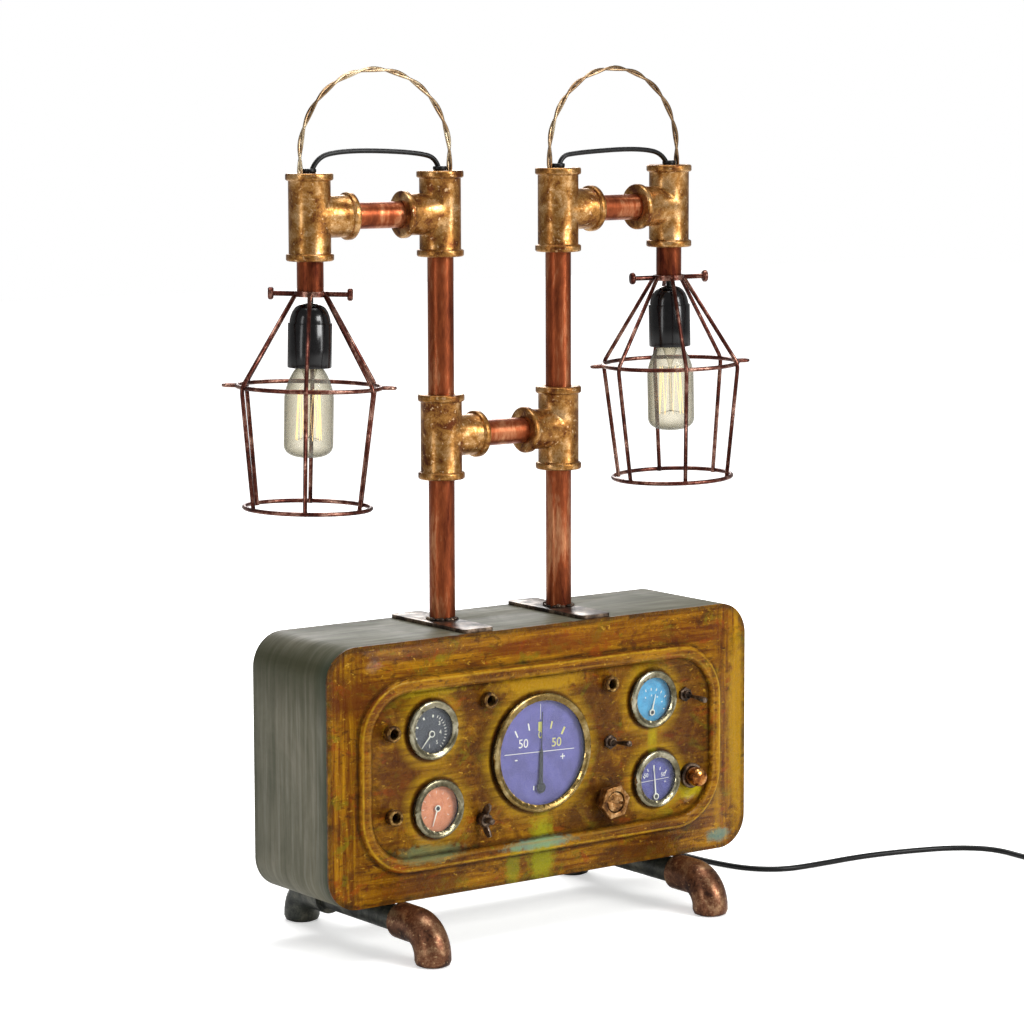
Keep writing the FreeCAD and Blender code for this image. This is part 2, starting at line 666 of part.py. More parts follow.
def arms():
    fitting, nipple, drop, plug = arm_parts()
    seat, reach = float(d.socket_depth), float(d.branch_reach)
    length, half = float(d.arm_length), float(d.tee_half)
    flip = Rotation(ABOUT_Z, 180)
    for side in ("left", "right"):
        frame = arm_frame(side)
        name = side.capitalize()
        plug_z = half - float(d.plug_thick)
        node(copies(f"{name}ArmTees", [
            (fitting, frame),
            (fitting, frame.multiply(Placement(Vector(length, 0, 0), flip))),
            (plug, frame.multiply(Placement(Vector(0, 0, plug_z), Rotation()))),
            (plug, frame.multiply(Placement(Vector(length, 0, plug_z), Rotation()))),
        ]), f"{side}_arm_tees")
        drop_z = float(d.drop_end_z - d.top_tee_z)
        node(copies(f"{name}ArmPipes", [
            (nipple, frame.multiply(Placement(Vector(reach - seat, 0, 0), Rotation(ABOUT_Y, 90)))),
            (drop, frame.multiply(Placement(Vector(length, 0, drop_z), Rotation()))),
        ]), f"{side}_arm_pipes")
        hoop(side)
        jumper(side)
        lamp_holder(side)
        bulb(side)
        cage(side)


def run_and_arcs(points, share=0.45):
    """A path of straight runs joined by tangent arcs that take a share of their shorter run.

    Returns the edges, the arcs' radii and the path's length.
    """
    spots = [Vector(*point) for point in points]
    edges, radii = [], []
    start = spots[0]
    for before, corner, after in zip(spots, spots[1:], spots[2:]):
        arrive, leave = corner - before, after - corner
        turn = arrive.getAngle(leave)
        setback = share * min(arrive.Length, leave.Length)
        radius = setback / math.tan(turn / 2)
        radii.append(radius)
        entry = corner - arrive.normalize() * setback
        leaving = corner + leave.normalize() * setback
        bisector = (entry + leaving) * 0.5 - corner
        centre_way = math.hypot(radius, setback)
        middle = corner + bisector.normalize() * (centre_way - radius)
        edges.append(Part.LineSegment(start, entry).toShape())
        edges.append(Part.Arc(entry, middle, leaving).toShape())
        start = leaving
    edges.append(Part.LineSegment(start, spots[-1]).toShape())
    return edges, radii, sum(edge.Length for edge in edges)


def swept(edges, radius):
    """A round wire swept along joined edges."""
    path = Part.Wire(edges)
    first = edges[0]
    way = first.tangentAt(first.FirstParameter)
    ring = Part.Wire([Part.Circle(first.valueAt(first.FirstParameter), way, radius).toShape()])
    return path.makePipeShell([ring], True, False)


def hoop(side):
    """The stiff twisted pair that arches from tee to tee, as a bent rod of its outer size."""
    radius, leg = float(d.arm_length / 2 + d.hoop_overhang), float(d.hoop_leg)
    centre = float(d.arm_length / 2 + d.hoop_shift_x)
    base = float(d.tee_half)
    left, right = centre - radius, centre + radius
    edges = [
        Part.LineSegment(Vector(left, 0, base), Vector(left, 0, base + leg)).toShape(),
        Part.Arc(Vector(left, 0, base + leg), Vector(centre, 0, base + leg + radius),
                 Vector(right, 0, base + leg)).toShape(),
        Part.LineSegment(Vector(right, 0, base + leg), Vector(right, 0, base)).toShape(),
    ]
    rod = swept(edges, float(d.hoop_wire) / 2)
    node(shaped(f"{side.capitalize()}Hoop", rod, arm_frame(side)), f"{side}_hoop")


def jumper(side):
    """The black lead that jumps from the post's tee to the lantern's tee, with its grommets."""
    rise = float(d.left_jumper_rise if side == "left" else d.right_jumper_rise)
    top, length = float(d.tee_half), float(d.arm_length)
    ends = float(d.grommet_height)
    near, far = float(d.jumper_shoulder_near), length - float(d.jumper_shoulder_far)
    route = [(0, 0, top - 2 * ends), (0.4, 0, top + ends + 6),
             (near, 0, top + rise - float(d.jumper_near_slope)), (far, 0, top + rise),
             (length - float(d.jumper_lean), 0, top + rise - float(d.jumper_slope)),
             (length, 0, top - 2 * ends)]
    edges, radii, _ = run_and_arcs(route)
    print(f"{side} jumper radii", [round(radius, 1) for radius in radii])
    lead = swept(edges, float(d.jumper_outer) / 2)
    outer, hole = float(d.grommet_outer) / 2, float(d.jumper_outer + d.fit_gap * 2) / 2
    pieces = [lead]
    for x in (0.0, length):
        seat = Vector(x, 0, top)
        flange = Part.makeCylinder(outer, ends, seat)
        flange = flange.makeFillet(1.2, [flange.Edges[0]])
        neck = Part.makeCylinder(outer - 2 - float(d.fit_gap), float(d.plug_thick),
                                 Vector(x, 0, top - float(d.plug_thick)))
        bore = Part.makeCylinder(hole + 0.5, 4 * ends, Vector(x, 0, top - 2 * ends))
        pieces.append(flange.fuse(neck).removeSplitter().cut(bore))
    lead_and_grommets = Part.makeCompound(pieces)
    name = f"{side.capitalize()}Jumper"
    node(shaped(name, lead_and_grommets, arm_frame(side)), f"{side}_jumper_lead")


def lamp_holder(side):
    """Moulded lamp holder in two halves, domed cap and skirt, on a thin stem from the pipe."""
    name = side.capitalize()
    frame = lantern_frame(side)
    top, dome = -d.holder_top, d.dome_height
    cap_r, skirt_r, wall = d.dome_outer / 2, d.holder_outer / 2, d.holder_wall
    stem_r = d.stem_outer / 2
    bore = stem_r + d.fit_gap
    dome_half = turned(f"{name}HolderDome", [
        (bore, top), (cap_r * 0.36, top), (cap_r * 0.4, top - 1.2), (cap_r * 0.72, top - 2.6),
        (cap_r * 0.92, top - 6), (cap_r, top - dome + 1), (cap_r, top - dome),
        (cap_r - wall, top - dome), (cap_r * 0.72, top - 6.5), (bore, top - 5)])
    low = top - d.holder_height
    mouth, screw = skirt_r - wall, d.cap_outer / 2 + d.fit_gap
    skirt = turned(f"{name}HolderSkirt", [
        (skirt_r - 1, top - dome), (skirt_r, top - dome - 1), (skirt_r, low + 0.8),
        (skirt_r - 0.8, low), (mouth, low), (mouth, low + 6), (screw, low + 9),
        (screw, top - dome)])
    node(copies(f"{name}Holder", [(dome_half, frame), (skirt, frame)]), f"{side}_lamp_holder")
    stem = body(f"{name}Stem")
    rod = sketch(stem, f"{name}StemRod", lift=top - 5)
    circle(rod, stem_r)
    pad(stem, rod, d.holder_top + 5 + d.collar_height)
    washer = sketch(stem, f"{name}StemWasher")
    circle(washer, pipe_r - d.pipe_wall - d.collar_gap)
    pad(stem, washer, d.collar_height)
    stem.Placement = frame
    node(stem, f"{side}_lamp_stem")


def bulb(side):
    """Tubular filament bulb: a thin glass envelope, and its screw cap with stem and filament."""
    name = side.capitalize()
    frame = lantern_frame(side)
    wide, neck, wall = float(d.bulb_outer) / 2, float(d.bulb_neck) / 2, float(d.bulb_wall)
    low = -float(d.holder_top + d.holder_height)
    tip = low - float(d.bulb_reach)
    cap_r = float(d.cap_outer) / 2
    cap_low = low + 3
    cap_high = cap_low + float(d.cap_height)
    bow = wide * 0.55

    def envelope(inset):
        """Half outline from the cap's mouth down the side to the tip, drawn in by an inset."""
        points = [Vector(cap_r - 1.5 - inset, 0, cap_low + 2), Vector(cap_r - 1.5 - inset, 0, low),
                  Vector(neck - inset, 0, low - 5),
                  Vector(wide - inset, 0, low - float(d.bulb_taper)),
                  Vector(wide - inset, 0, tip + bow)]
        shoulder = Part.BSplineCurve()
        shoulder.buildFromPoles([points[1], points[2], points[3], points[3] + Vector(0, 0, -8)])
        edges = [Part.LineSegment(points[0], points[1]).toShape(), shoulder.toShape(),
                 Part.LineSegment(points[3] + Vector(0, 0, -8), points[4]).toShape()]
        ending = Part.BSplineCurve()
        base = tip + inset
        ending.buildFromPoles([points[4], Vector(wide - inset, 0, base + bow * 0.25),
                               Vector(wide * 0.62, 0, base), Vector(0, 0, base)])
        edges.append(ending.toShape())
        return edges

    def filled(inset):
        edges = envelope(inset)
        start = edges[0].valueAt(edges[0].FirstParameter)
        axis_top = Vector(0, 0, start.z)
        axis_low = Vector(0, 0, tip + inset)
        edges.append(Part.LineSegment(axis_low, axis_top).toShape())
        edges.append(Part.LineSegment(axis_top, start).toShape())
        face = Part.Face(Part.Wire(Part.__sortEdges__(edges)))
        return face.revolve(Vector(), ABOUT_Z, 360)

    hollow = filled(wall)
    opening = Part.makeCylinder(cap_r - 1.5 - wall, 4, Vector(0, 0, cap_low))
    glass = filled(0).cut(hollow).cut(opening)
    node(shaped(f"{name}BulbGlass", glass, frame), f"{side}_bulb_glass")

    mount_r = 4.0
    stem_low = low - float(d.press_drop)
    upper_z = stem_low - float(d.filament_drop)
    lower_z = upper_z - float(d.filament_height)
    screw = Part.makeCylinder(cap_r, float(d.cap_height) - 5, Vector(0, 0, cap_low))
    screw = screw.cut(Part.makeCylinder(cap_r - 1.2, 4, Vector(0, 0, cap_low)))
    crown = Part.makeCone(cap_r, 5.5, 5, Vector(0, 0, cap_high - 5))
    press = Part.makeCone(8, mount_r, cap_low + 4 - stem_low, Vector(0, 0, cap_low + 4),
                          Vector(0, 0, -1))
    rod = Part.makeCylinder(float(d.mount_rod), stem_low + 1 - (lower_z - 3),
                            Vector(0, 0, lower_z - 3))
    parts = screw.multiFuse([crown, press, rod])
    stars = []
    stay, thread = float(d.stay_wire), float(d.filament_wire)
    levels = ((upper_z, float(d.upper_stay)), (lower_z, float(d.lower_stay)))
    for level, reach in levels:
        for index in range(5):
            angle = math.radians(72 * index + 20)
            way = Vector(math.cos(angle), math.sin(angle), 0)
            stars.append(Part.makeCylinder(stay, reach, Vector(0, 0, level), way))
    for index in range(5):
        angle = math.radians(72 * index + 20)
        way = Vector(math.cos(angle), math.sin(angle), 0)
        upper, lower = (way * (reach - 0.4) + Vector(0, 0, level) for level, reach in levels)
        stars.append(Part.makeCylinder(thread, (lower - upper).Length, upper, lower - upper))
    node(shaped(f"{name}BulbCap", parts.multiFuse(stars), frame), f"{side}_bulb_cap")


def cage(side):
    """Welded wire cage on a split collar, and the two screws that clamp it to the pipe."""
    name = side.capitalize()
    turn = float(d.left_cage_angle if side == "left" else d.right_cage_angle)
    frame = lantern_frame(side).multiply(Placement(Vector(), Rotation(ABOUT_Z, turn)))
    wire, collar_r = float(d.cage_wire) / 2, float(d.collar_outer) / 2
    height, lift = float(d.collar_height), -1.0
    shoulder, hem = float(d.shoulder_radius), float(d.hem_radius)
    shoulder_z, hem_z = -float(d.shoulder_drop), -float(d.hem_drop)
    weld = float(d.cage_wire * d.weld_overlap)
    ring = shoulder - weld
    axis = Vector(0, 0, lift + height / 2)
    parts = [Part.makeCylinder(collar_r, height, Vector(0, 0, lift)),
             Part.makeTorus(ring, wire, Vector(0, 0, shoulder_z)),
             Part.makeTorus(hem, wire, Vector(0, 0, hem_z))]
    for index in range(6):
        angle = math.radians(60 * index)
        way = Vector(math.cos(angle), math.sin(angle), 0)
        bends = [way * (collar_r + wire * 0.3) + Vector(0, 0, lift + height * 0.3),
                 way * shoulder + Vector(0, 0, shoulder_z),
                 way * (hem - weld) + Vector(0, 0, hem_z - wire)]
        edges, _, _ = run_and_arcs(bends, float(d.cage_bend_share))
        parts.append(swept(edges, wire * 0.97))
    ear_r, ear_half = float(d.ear_wire) / 2, float(d.ear_width) / 2
    for sign in (-1, 1):
        tip = shoulder + wire + float(d.ear_reach) - ear_half - ear_r
        corners = [Vector(-ear_half, sign * ring, shoulder_z),
                   Vector(-ear_half, sign * tip, shoulder_z),
                   Vector(0, sign * (tip + ear_half), shoulder_z),
                   Vector(ear_half, sign * tip, shoulder_z),
                   Vector(ear_half, sign * ring, shoulder_z)]
        parts.append(swept([Part.LineSegment(corners[0], corners[1]).toShape(),
                            Part.Arc(corners[1], corners[2], corners[3]).toShape(),
                            Part.LineSegment(corners[3], corners[4]).toShape()], ear_r))
    solid = parts[0].multiFuse(parts[1:]).removeSplitter()
    screw_r = float(d.clamp_screw_outer) / 2
    bore = Part.makeCylinder(float(pipe_r + d.collar_gap), height * 3, Vector(0, 0, lift - height))
    ways = Part.makeCylinder(screw_r + float(d.fit_gap), collar_r * 2.4,
                             Vector(0, -collar_r * 1.2, axis.z), ABOUT_Y)
    node(shaped(f"{name}Cage", solid.cut(bore).cut(ways), frame), f"{side}_cage")

    head_r, head = float(d.clamp_head_outer) / 2, float(d.clamp_head_thick)
    inner, reach = float(pipe_r + d.clamp_gap), float(d.clamp_screw_reach)
    for label, way in (("near", 1), ("far", -1)):
        along = Vector(0, way, 0)
        shank = Part.makeCylinder(screw_r, reach - head - inner, axis + along * inner, along)
        knob = Part.makeCylinder(head_r, head, axis + along * (reach - head), along)
        knob = knob.makeChamfer(head * 0.24, [edge for edge in knob.Edges if edge.Closed])
        screw = shank.fuse(knob).removeSplitter()
        node(shaped(f"{name}{label.capitalize()}Screw", screw, frame),
             f"{side}_cage_{label}_screw")


# Instruments


def can_radius(bezel):
    """Outer radius of the can behind a bezel."""
    return bezel / 2 - d.can_inset


def instrument_parts(name, bezel, lip):
    """Can, bezel and lens of one instrument, lying on their backs with z = 0 at the panel."""
    r, can = bezel / 2, can_radius(bezel)
    inside = can - d.can_wall
    ledge = inside - 1.5
    dial_low = -d.dial_recess - d.dial_thick
    housing = turned(f"{name}Can", [
        (0, -d.can_depth), (can - 2, -d.can_depth), (can, -d.can_depth + 2), (can, 0),
        (r - 1, 0), (r - 1, d.can_flange), (can, d.can_flange), (can, d.lens_stand),
        (inside, d.lens_stand), (inside, dial_low), (ledge, dial_low),
        (ledge, -d.can_depth + d.can_wall), (0, -d.can_depth + d.can_wall)])
    rise, window = d.bezel_rise, r - lip
    seat = d.lens_stand + d.lens_thick
    ring = turned(f"{name}Bezel", [
        (can + d.fit_gap, d.can_flange), (r - 0.6, d.can_flange), (r, d.can_flange + 0.8),
        (r, rise - 2.2), (r - 0.9, rise - 0.6), (r - 2.6, rise), (r - lip * 0.62, rise - 0.4),
        (window, seat + 0.8), (window, seat), (can + d.fit_gap, seat)])
    glass = turned(f"{name}Lens", [
        (0, d.lens_stand), (can, d.lens_stand), (can, seat), (0, seat)])
    return housing, ring, glass


def dial_plate(name, bezel, pivot):
    """Dial: a thin disc with the hole that the needle's spindle runs in."""
    plate = body(f"{name}Dial")
    face = sketch(plate, f"{name}DialFace", lift=-d.dial_recess - d.dial_thick)
    circle(face, can_radius(bezel) - d.can_wall - d.fit_gap)
    circle(face, d.spindle / 2 + d.fit_gap, 0, pivot)
    pad(plate, face, d.dial_thick)
    return plate


def pointer(name, length, outline=None):
    """Needle with its hub and spindle, pointing up its own +Y from a pivot at the origin."""
    lift = -d.dial_recess + d.needle_lift
    hub = d.spindle * 1.9
    needle = body(f"{name}Needle")
    disc = sketch(needle, f"{name}Hub", lift=lift)
    circle(disc, hub)
    pad(needle, disc, d.needle_thick * 1.8)
    blade = sketch(needle, f"{name}Blade", lift=lift)
    half = outline or [(d.spindle / 2, Size.of(0)), (d.spindle / 6, length)]
    polygon(blade, [(-1 * x, y) for x, y in half] + half[::-1])
    pad(needle, blade, d.needle_thick)
    shaft = sketch(needle, f"{name}Shaft", lift=lift - d.needle_lift - d.dial_thick * 3)
    circle(shaft, d.spindle / 2)
    pad(needle, shaft, d.needle_lift + d.dial_thick * 3)
    return needle


def instruments():
    """One large and four small round instruments, set into the panel."""
    names = ("black", "salmon", "blue", "violet")
    spots = {name: (getattr(d, f"{name}_x"), getattr(d, f"{name}_z")) for name in names}
    parts = instrument_parts("Large", d.large_bezel, d.large_lip)
    for piece, label in zip(parts, ("housing", "bezel", "lens")):
        place(piece, d.large_x, panel_front, d.large_z, FACING)
        node(piece, f"large_gauge_{label}")
    for piece, label in zip(instrument_parts("Small", d.small_bezel, d.small_lip),
                            ("housings", "bezels", "lenses")):
        group = []
        for x, z in spots.values():
            seat = Vector(float(x), float(panel_front), float(z))
            group.append((piece, Placement(seat, FACING)))
        node(copies(f"Small{label.capitalize()}", group), f"small_gauge_{label}")
    angles = {"large": 1.8, "black": 221.7, "salmon": 198.4, "blue": 14.8, "violet": -4.5}
    for name in ("large",) + names:
        x, z = (d.large_x, d.large_z) if name == "large" else spots[name]
        pivot = getattr(d, f"{name}_pivot")
        bezel = d.large_bezel if name == "large" else d.small_bezel
        dial = dial_plate(name.capitalize(), bezel, pivot)
        place(dial, x, panel_front, z, FACING)
        node(dial, f"{name}_dial")
        half = None
        if name == "large":
            half = [(d.large_root / 2, Size.of(0)), (d.large_root / 2.6, d.large_waist),
                    (d.spindle / 3, d.large_waist + d.large_neck),
                    (d.spindle / 6, d.large_needle)]
        needle = pointer(name.capitalize(), getattr(d, f"{name}_needle"), half)
        clockwise = FACING.multiply(Rotation(ABOUT_Z, -angles[name]))
        place(needle, x, panel_front, z + pivot, clockwise)
        node(needle, f"{name}_needle")


# Switches and fittings of the panel


def bush_spots():
    """Hollow bushes along the edge of the panel."""
    return [(d.upper_bush_x, d.upper_bush_z), (d.left_bush_x, d.top_bush_z),
            (d.lower_bush_x, d.lower_bush_z), (d.right_bush_x, d.top_bush_z)]


def toggle_spots():
    return [(d.upper_toggle_x, d.upper_toggle_z), (d.lower_toggle_x, d.lower_toggle_z)]


def hexagon(drawing, flats, x=0.0, y=0.0, first=90.0):
    """A regular hexagon whose first corner stands at the given angle."""
    corners = []
    reach = flats / math.sqrt(3)
    for index in range(6):
        angle = math.radians(60 * index + float(first))
        corners.append((x + reach * math.cos(angle), y + reach * math.sin(angle)))
    return polygon(drawing, corners)


def bushes():
    """Threaded hollow bushes with a turned collar, in the panel's small holes."""
    outer, bore, stem = d.bush_outer / 2, d.bush_bore / 2, d.bush_stem / 2
    source = turned("PanelBush", [
        (bore, -d.bush_stem_length), (stem, -d.bush_stem_length), (stem, 0), (outer, 0),
        (outer, d.bush_rise - 1.2), (outer - 1.2, d.bush_rise), (bore + 0.8, d.bush_rise),
        (bore, d.bush_rise - 0.8)])
    group = []
    for x, z in bush_spots():
        group.append((source, Placement(Vector(x.value, float(panel_front), z.value), FACING)))
    node(copies("PanelBushes", group), "panel_bushes")


def switch_bodies():
    """What the switches keep behind the panel with the necks that show, and the wing nut's bolt."""
    toggle = body("ToggleBody")
    block = sketch(toggle, "ToggleBlock", lift=-d.sheet_wall - d.toggle_body_depth)
    rounded_rectangle(block, d.toggle_body, d.toggle_body * 1.4, d.sheet_wall)
    pad(toggle, block, d.toggle_body_depth)
    neck = sketch(toggle, "ToggleNeck", lift=-d.sheet_wall)
    circle(neck, d.toggle_thread / 2)
    pad(toggle, neck, d.sheet_wall + d.toggle_rise)
    nut = sketch(toggle, "ToggleNut")
    hexagon(nut, d.toggle_nut)
    pad(toggle, nut, d.toggle_nut_thick)
    well = sketch(toggle, "ToggleWell", lift=d.toggle_rise)
    circle(well, d.toggle_thread / 2 - d.toggle_neck_wall)
    pocket(toggle, well, d.toggle_rise)

    ring, hole = d.button_ring / 2, d.button_outer / 2 + d.seat_gap
    back = -d.sheet_wall - d.button_travel * 3
    stem = d.button_stem / 2 + d.fit_gap
    button = turned("ButtonHousing", [
        (hole, 0), (ring, 0), (ring, d.button_ring_rise - 1), (ring - 1, d.button_ring_rise),
        (hole, d.button_ring_rise)])
    barrel = turned("ButtonBarrel", [
        (stem, back - 3), (ring, back - 3), (ring, -d.sheet_wall), (hole, -d.sheet_wall),
        (hole, back), (stem, back)])

    core = d.selector_core / 2 + d.fit_gap
    neck_r = d.selector_neck / 2
    lower = -d.sheet_wall * 9
    selector = turned("SelectorBody", [
        (0, lower - 4), (neck_r, lower - 4), (neck_r, -d.sheet_wall), (core, -d.sheet_wall),
        (core, lower), (0, lower)])

    front = float(panel_front)
    parts = [(toggle, Placement(Vector(float(x), front, float(z)), FACING))
             for x, z in toggle_spots()]
    for piece in (button, barrel):
        parts.append((piece, Placement(Vector(float(d.button_x), front, float(d.button_z)), FACING)))
    parts.append((selector, Placement(Vector(float(d.selector_x), front, float(d.selector_z)),
                                      FACING)))
    stud = d.wing_stud / 2
    bolt = turned("WingBolt", [
        (0, -d.sheet_wall * 3), (d.wing_stud, -d.sheet_wall * 3), (d.wing_stud, -d.sheet_wall),
        (stud, -d.sheet_wall), (stud, d.wing_stud_length - 0.8),
        (stud - 0.8, d.wing_stud_length), (0, d.wing_stud_length)])
    parts.append((bolt, Placement(Vector(float(d.wing_x), front, float(d.wing_z)), FACING)))
    node(copies("SwitchBodies", parts), "switch_bodies")


def toggle_levers():
    """Bat-shaped levers, each turning on a ball in its own neck."""
    root, tip, length = d.lever_root / 2, d.lever_tip / 2, d.lever_length
    ball_r = d.toggle_thread / 2 - d.toggle_neck_wall - d.fit_gap
    for name, (x, z), tilt in (("Upper", toggle_spots()[0], d.upper_toggle_tilt),
                               ("Lower", toggle_spots()[1], d.lower_toggle_tilt)):
        bat = turned(f"{name}ToggleBat", [
            (0, 0), (root, 0), (root, length * 0.35), (tip, length - tip * 1.2),
            (tip * 0.94, length - tip * 0.5), (tip * 0.6, length - tip * 0.12), (0, length)])
        ball = doc.addObject("Part::Sphere", f"{name}ToggleBall")
        bind(ball, "Radius", ball_r)
        lever = fuse(f"{name}ToggleLever", [bat, ball])
        tilted = FACING.multiply(Rotation(ABOUT_X, -float(tilt)))
        place(lever, x, panel_front - d.toggle_rise + ball_r, z, tilted)
        node(lever, f"{name.lower()}_toggle_lever")


def push_button():
    """Domed push-button on a stem that slides in its barrel."""
    r, rise, stem = d.button_outer / 2, d.button_rise, d.button_stem / 2
    button = turned("PushButton", [
        (0, -d.button_travel * 3 - 5), (stem, -d.button_travel * 3 - 5), (stem, -2), (r, -2),
        (r, rise - r * 0.8), (r * 0.94, rise - r * 0.45), (r * 0.72, rise - r * 0.17),
        (r * 0.38, rise - r * 0.03), (0, rise)])
    place(button, d.button_x, panel_front, d.button_z, FACING)
    node(button, "push_button")


def selector():
    """Slotted rotary selector held in the panel by a large hexagon nut."""
    nut = body("SelectorNut")
    neck = sketch(nut, "SelectorNeck")
    circle(neck, d.selector_neck / 2)
    pad(nut, neck, d.selector_neck_rise)
    flats = sketch(nut, "SelectorFlats", lift=d.selector_neck_rise)
    hexagon(flats, d.selector_flats, first=d.selector_corner_angle)
    pad(nut, flats, d.selector_nut_thick)
    hole = sketch(nut, "SelectorHole")
    circle(hole, d.selector_bore / 2)
    pocket(nut, hole, (d.selector_neck_rise + d.selector_nut_thick) * 2, both_ways=True)
    place(nut, d.selector_x, panel_front, d.selector_z, FACING)
    node(nut, "selector_nut")

    core = body("SelectorCore")
    barrel = sketch(core, "CoreBarrel", lift=-d.sheet_wall * 8)
    circle(barrel, d.selector_core / 2)
    pad(core, barrel, d.sheet_wall * 8 + d.selector_core_rise)
    slot = sketch(core, "CoreSlot", lift=d.selector_core_rise)
    half, reach = d.selector_slot / 2, d.selector_core
    polygon(slot, [(-reach, -half), (reach, -half), (reach, half), (-reach, half)])
    pocket(core, slot, d.selector_slot_depth)
    turn = FACING.multiply(Rotation(ABOUT_Z, -float(d.selector_slot_angle)))
    place(core, d.selector_x, panel_front, d.selector_z, turn)
    node(core, "selector_core")


def wing_nut():
    """Wing nut on the panel's stud, its two wings upright."""
    nut = body("WingNut")
    hub_r = d.wing_hub / 2
    hub = sketch(nut, "WingHub")
    circle(hub, hub_r)
    pad(nut, hub, d.wing_hub_height)
    wings = sketch(nut, "Wings", "YZ_Plane")
    span, rise = d.wing_span / 2, d.wing_rise
    polygon(wings, [(-hub_r * 0.8, 1), (hub_r * 0.8, 1), (span * 0.82, rise * 0.42),
                    (span, rise * 0.75), (span * 0.9, rise), (span * 0.66, rise * 0.93),
                    (hub_r * 0.7, d.wing_hub_height), (-hub_r * 0.7, d.wing_hub_height),
                    (-span * 0.66, rise * 0.93), (-span * 0.9, rise), (-span, rise * 0.75),
                    (-span * 0.82, rise * 0.42)])
    pad(nut, wings, d.wing_thick, both_ways=True)
    bore = sketch(nut, "WingBore")
    circle(bore, d.wing_stud / 2 + d.fit_gap)
    pocket(nut, bore, d.wing_rise * 3, both_ways=True)
    place(nut, d.wing_x, panel_front - d.seat_gap, d.wing_z, FACING)
    node(nut, "wing_nut")


def terminal_block():
    """Two-way terminal block on the floor of the case."""
    block = body("TerminalBlock")
    base = sketch(block, "BlockBase")
    rounded_rectangle(base, d.block_length, d.block_width, d.sheet_wall)
    pad(block, base, d.block_height)
    wells = sketch(block, "BlockWells", lift=d.block_height)
    for index in (-1, 0, 1):
        circle(wells, d.block_width / 6, d.block_length * index / 4, 0)
    pocket(block, wells, d.block_height / 2)
    place(block, d.block_x, 0, d.case_bottom + d.sheet_wall)
    node(block, "terminal_block")


# Mains lead


def gland():
    """Gland in the back cover with a tapered strain relief."""
    r, root, tip = d.gland_outer / 2, d.relief_root / 2, d.relief_tip / 2
    hole, length = d.cord_outer / 2 + d.fit_gap, d.relief_length
    inner = r - d.sheet_wall
    back = -d.sheet_wall * 3
    source = turned("CordGland", [
        (hole, back), (inner, back), (inner, 0), (r, 0), (r, d.gland_rise - 1),
        (r - 1, d.gland_rise), (root, d.gland_rise), (tip, d.gland_rise + length),
        (hole, d.gland_rise + length)])
    place(source, d.gland_x, -panel_front, d.gland_z, TO_REAR)
    node(source, "cord_gland")


def mains_cord():
    """The free lead, from the strain relief across the table to its coil."""
    radius = float(d.cord_outer) / 2
    start = Vector(float(d.gland_x), float(-panel_front + d.gland_rise + d.relief_length),
                   float(d.gland_z))
    centre, begin = coil_centre(), math.radians(float(d.coil_start_angle))
    outer = coil_reach()
    finish = centre + Vector(math.cos(begin), math.sin(begin), 0) * outer
    points = [tuple(start)] + CORD_ROUTE[1:-1]
    lead_in = Vector(math.sin(begin), -math.cos(begin), 0)
    points.append(tuple(finish + lead_in * 50))
    points.append(tuple(finish))
    edges, radii, length = run_and_arcs(points)
    print("cord radii", [round(value, 1) for value in radii], "length", round(length, 1))
    lead = swept(edges, radius)
    expected = math.pi * radius ** 2 * length
    print("cord volume over section by length", round(lead.Volume / expected, 5))
    node(shaped("MainsCord", lead), "mains_cord")
    return length


def coil_centre():
    return Vector(float(d.coil_x), float(d.coil_y), float(d.cord_outer) / 2)


def coil_reach():
    """Radius of the coil's outermost turn."""
    pitch = float(d.cord_outer + d.cord_gap)
    return float(d.coil_middle) / 2 + pitch * float(d.coil_turns) / 4


def coil_path():
    """Points and tangents, a quarter turn apart, of a spiral in and out again in two layers."""
    pitch = float(d.cord_outer + d.cord_gap)
    quarters = int(round(float(d.coil_turns) * 4))
    half = quarters / 2
    centre = coil_centre()
    begin = math.radians(float(d.coil_start_angle))
    outer = coil_reach()

    def spot(quarter):
        angle = begin + quarter * math.pi / 2
        away = abs(quarter - half)
        drawn = half - away if away > 1 else half - (away * away + 1) / 2
        reach = outer - pitch / 4 * drawn
        climb = min(max((quarter - half + 1) / 2, 0), 1)
        rise = pitch * climb * climb * (3 - 2 * climb)
        return centre + Vector(math.cos(angle) * reach, math.sin(angle) * reach, rise)

    step = 1e-4
    path = []
    for quarter in range(quarters + 1):
        ahead, behind = spot(quarter + step), spot(quarter - step)
        path.append((spot(quarter), (ahead - behind).normalize()))
    return path


def arc_from(start, way, end):
    """The arc that leaves start along a direction and reaches end."""
    chord = end - start
    along = Vector(chord).normalize()
    lean = way.getAngle(chord)
    aside = (way - along * way.dot(along)).normalize()
    middle = (start + end) * 0.5 + aside * (chord.Length / 2 * math.tan(lean / 2))
    return Part.Arc(start, middle, end).toShape()


def biarc(start, way, end, way_end):
    """Two tangent arcs between two points with given directions."""
    gap = end - start
    ways = way + way_end
    a = 2 * (1 - way.dot(way_end))
    b = 2 * gap.dot(ways)
    reach = (-b + math.sqrt(b * b + 4 * a * gap.dot(gap))) / (2 * a)
    joint = (start + way * reach + end - way_end * reach) * 0.5
    first = arc_from(start, way, joint)
    back = arc_from(end, way_end * -1, joint)
    second = Part.Arc(joint, back.valueAt((back.FirstParameter + back.LastParameter) / 2), end)
    return [first, second.toShape()]


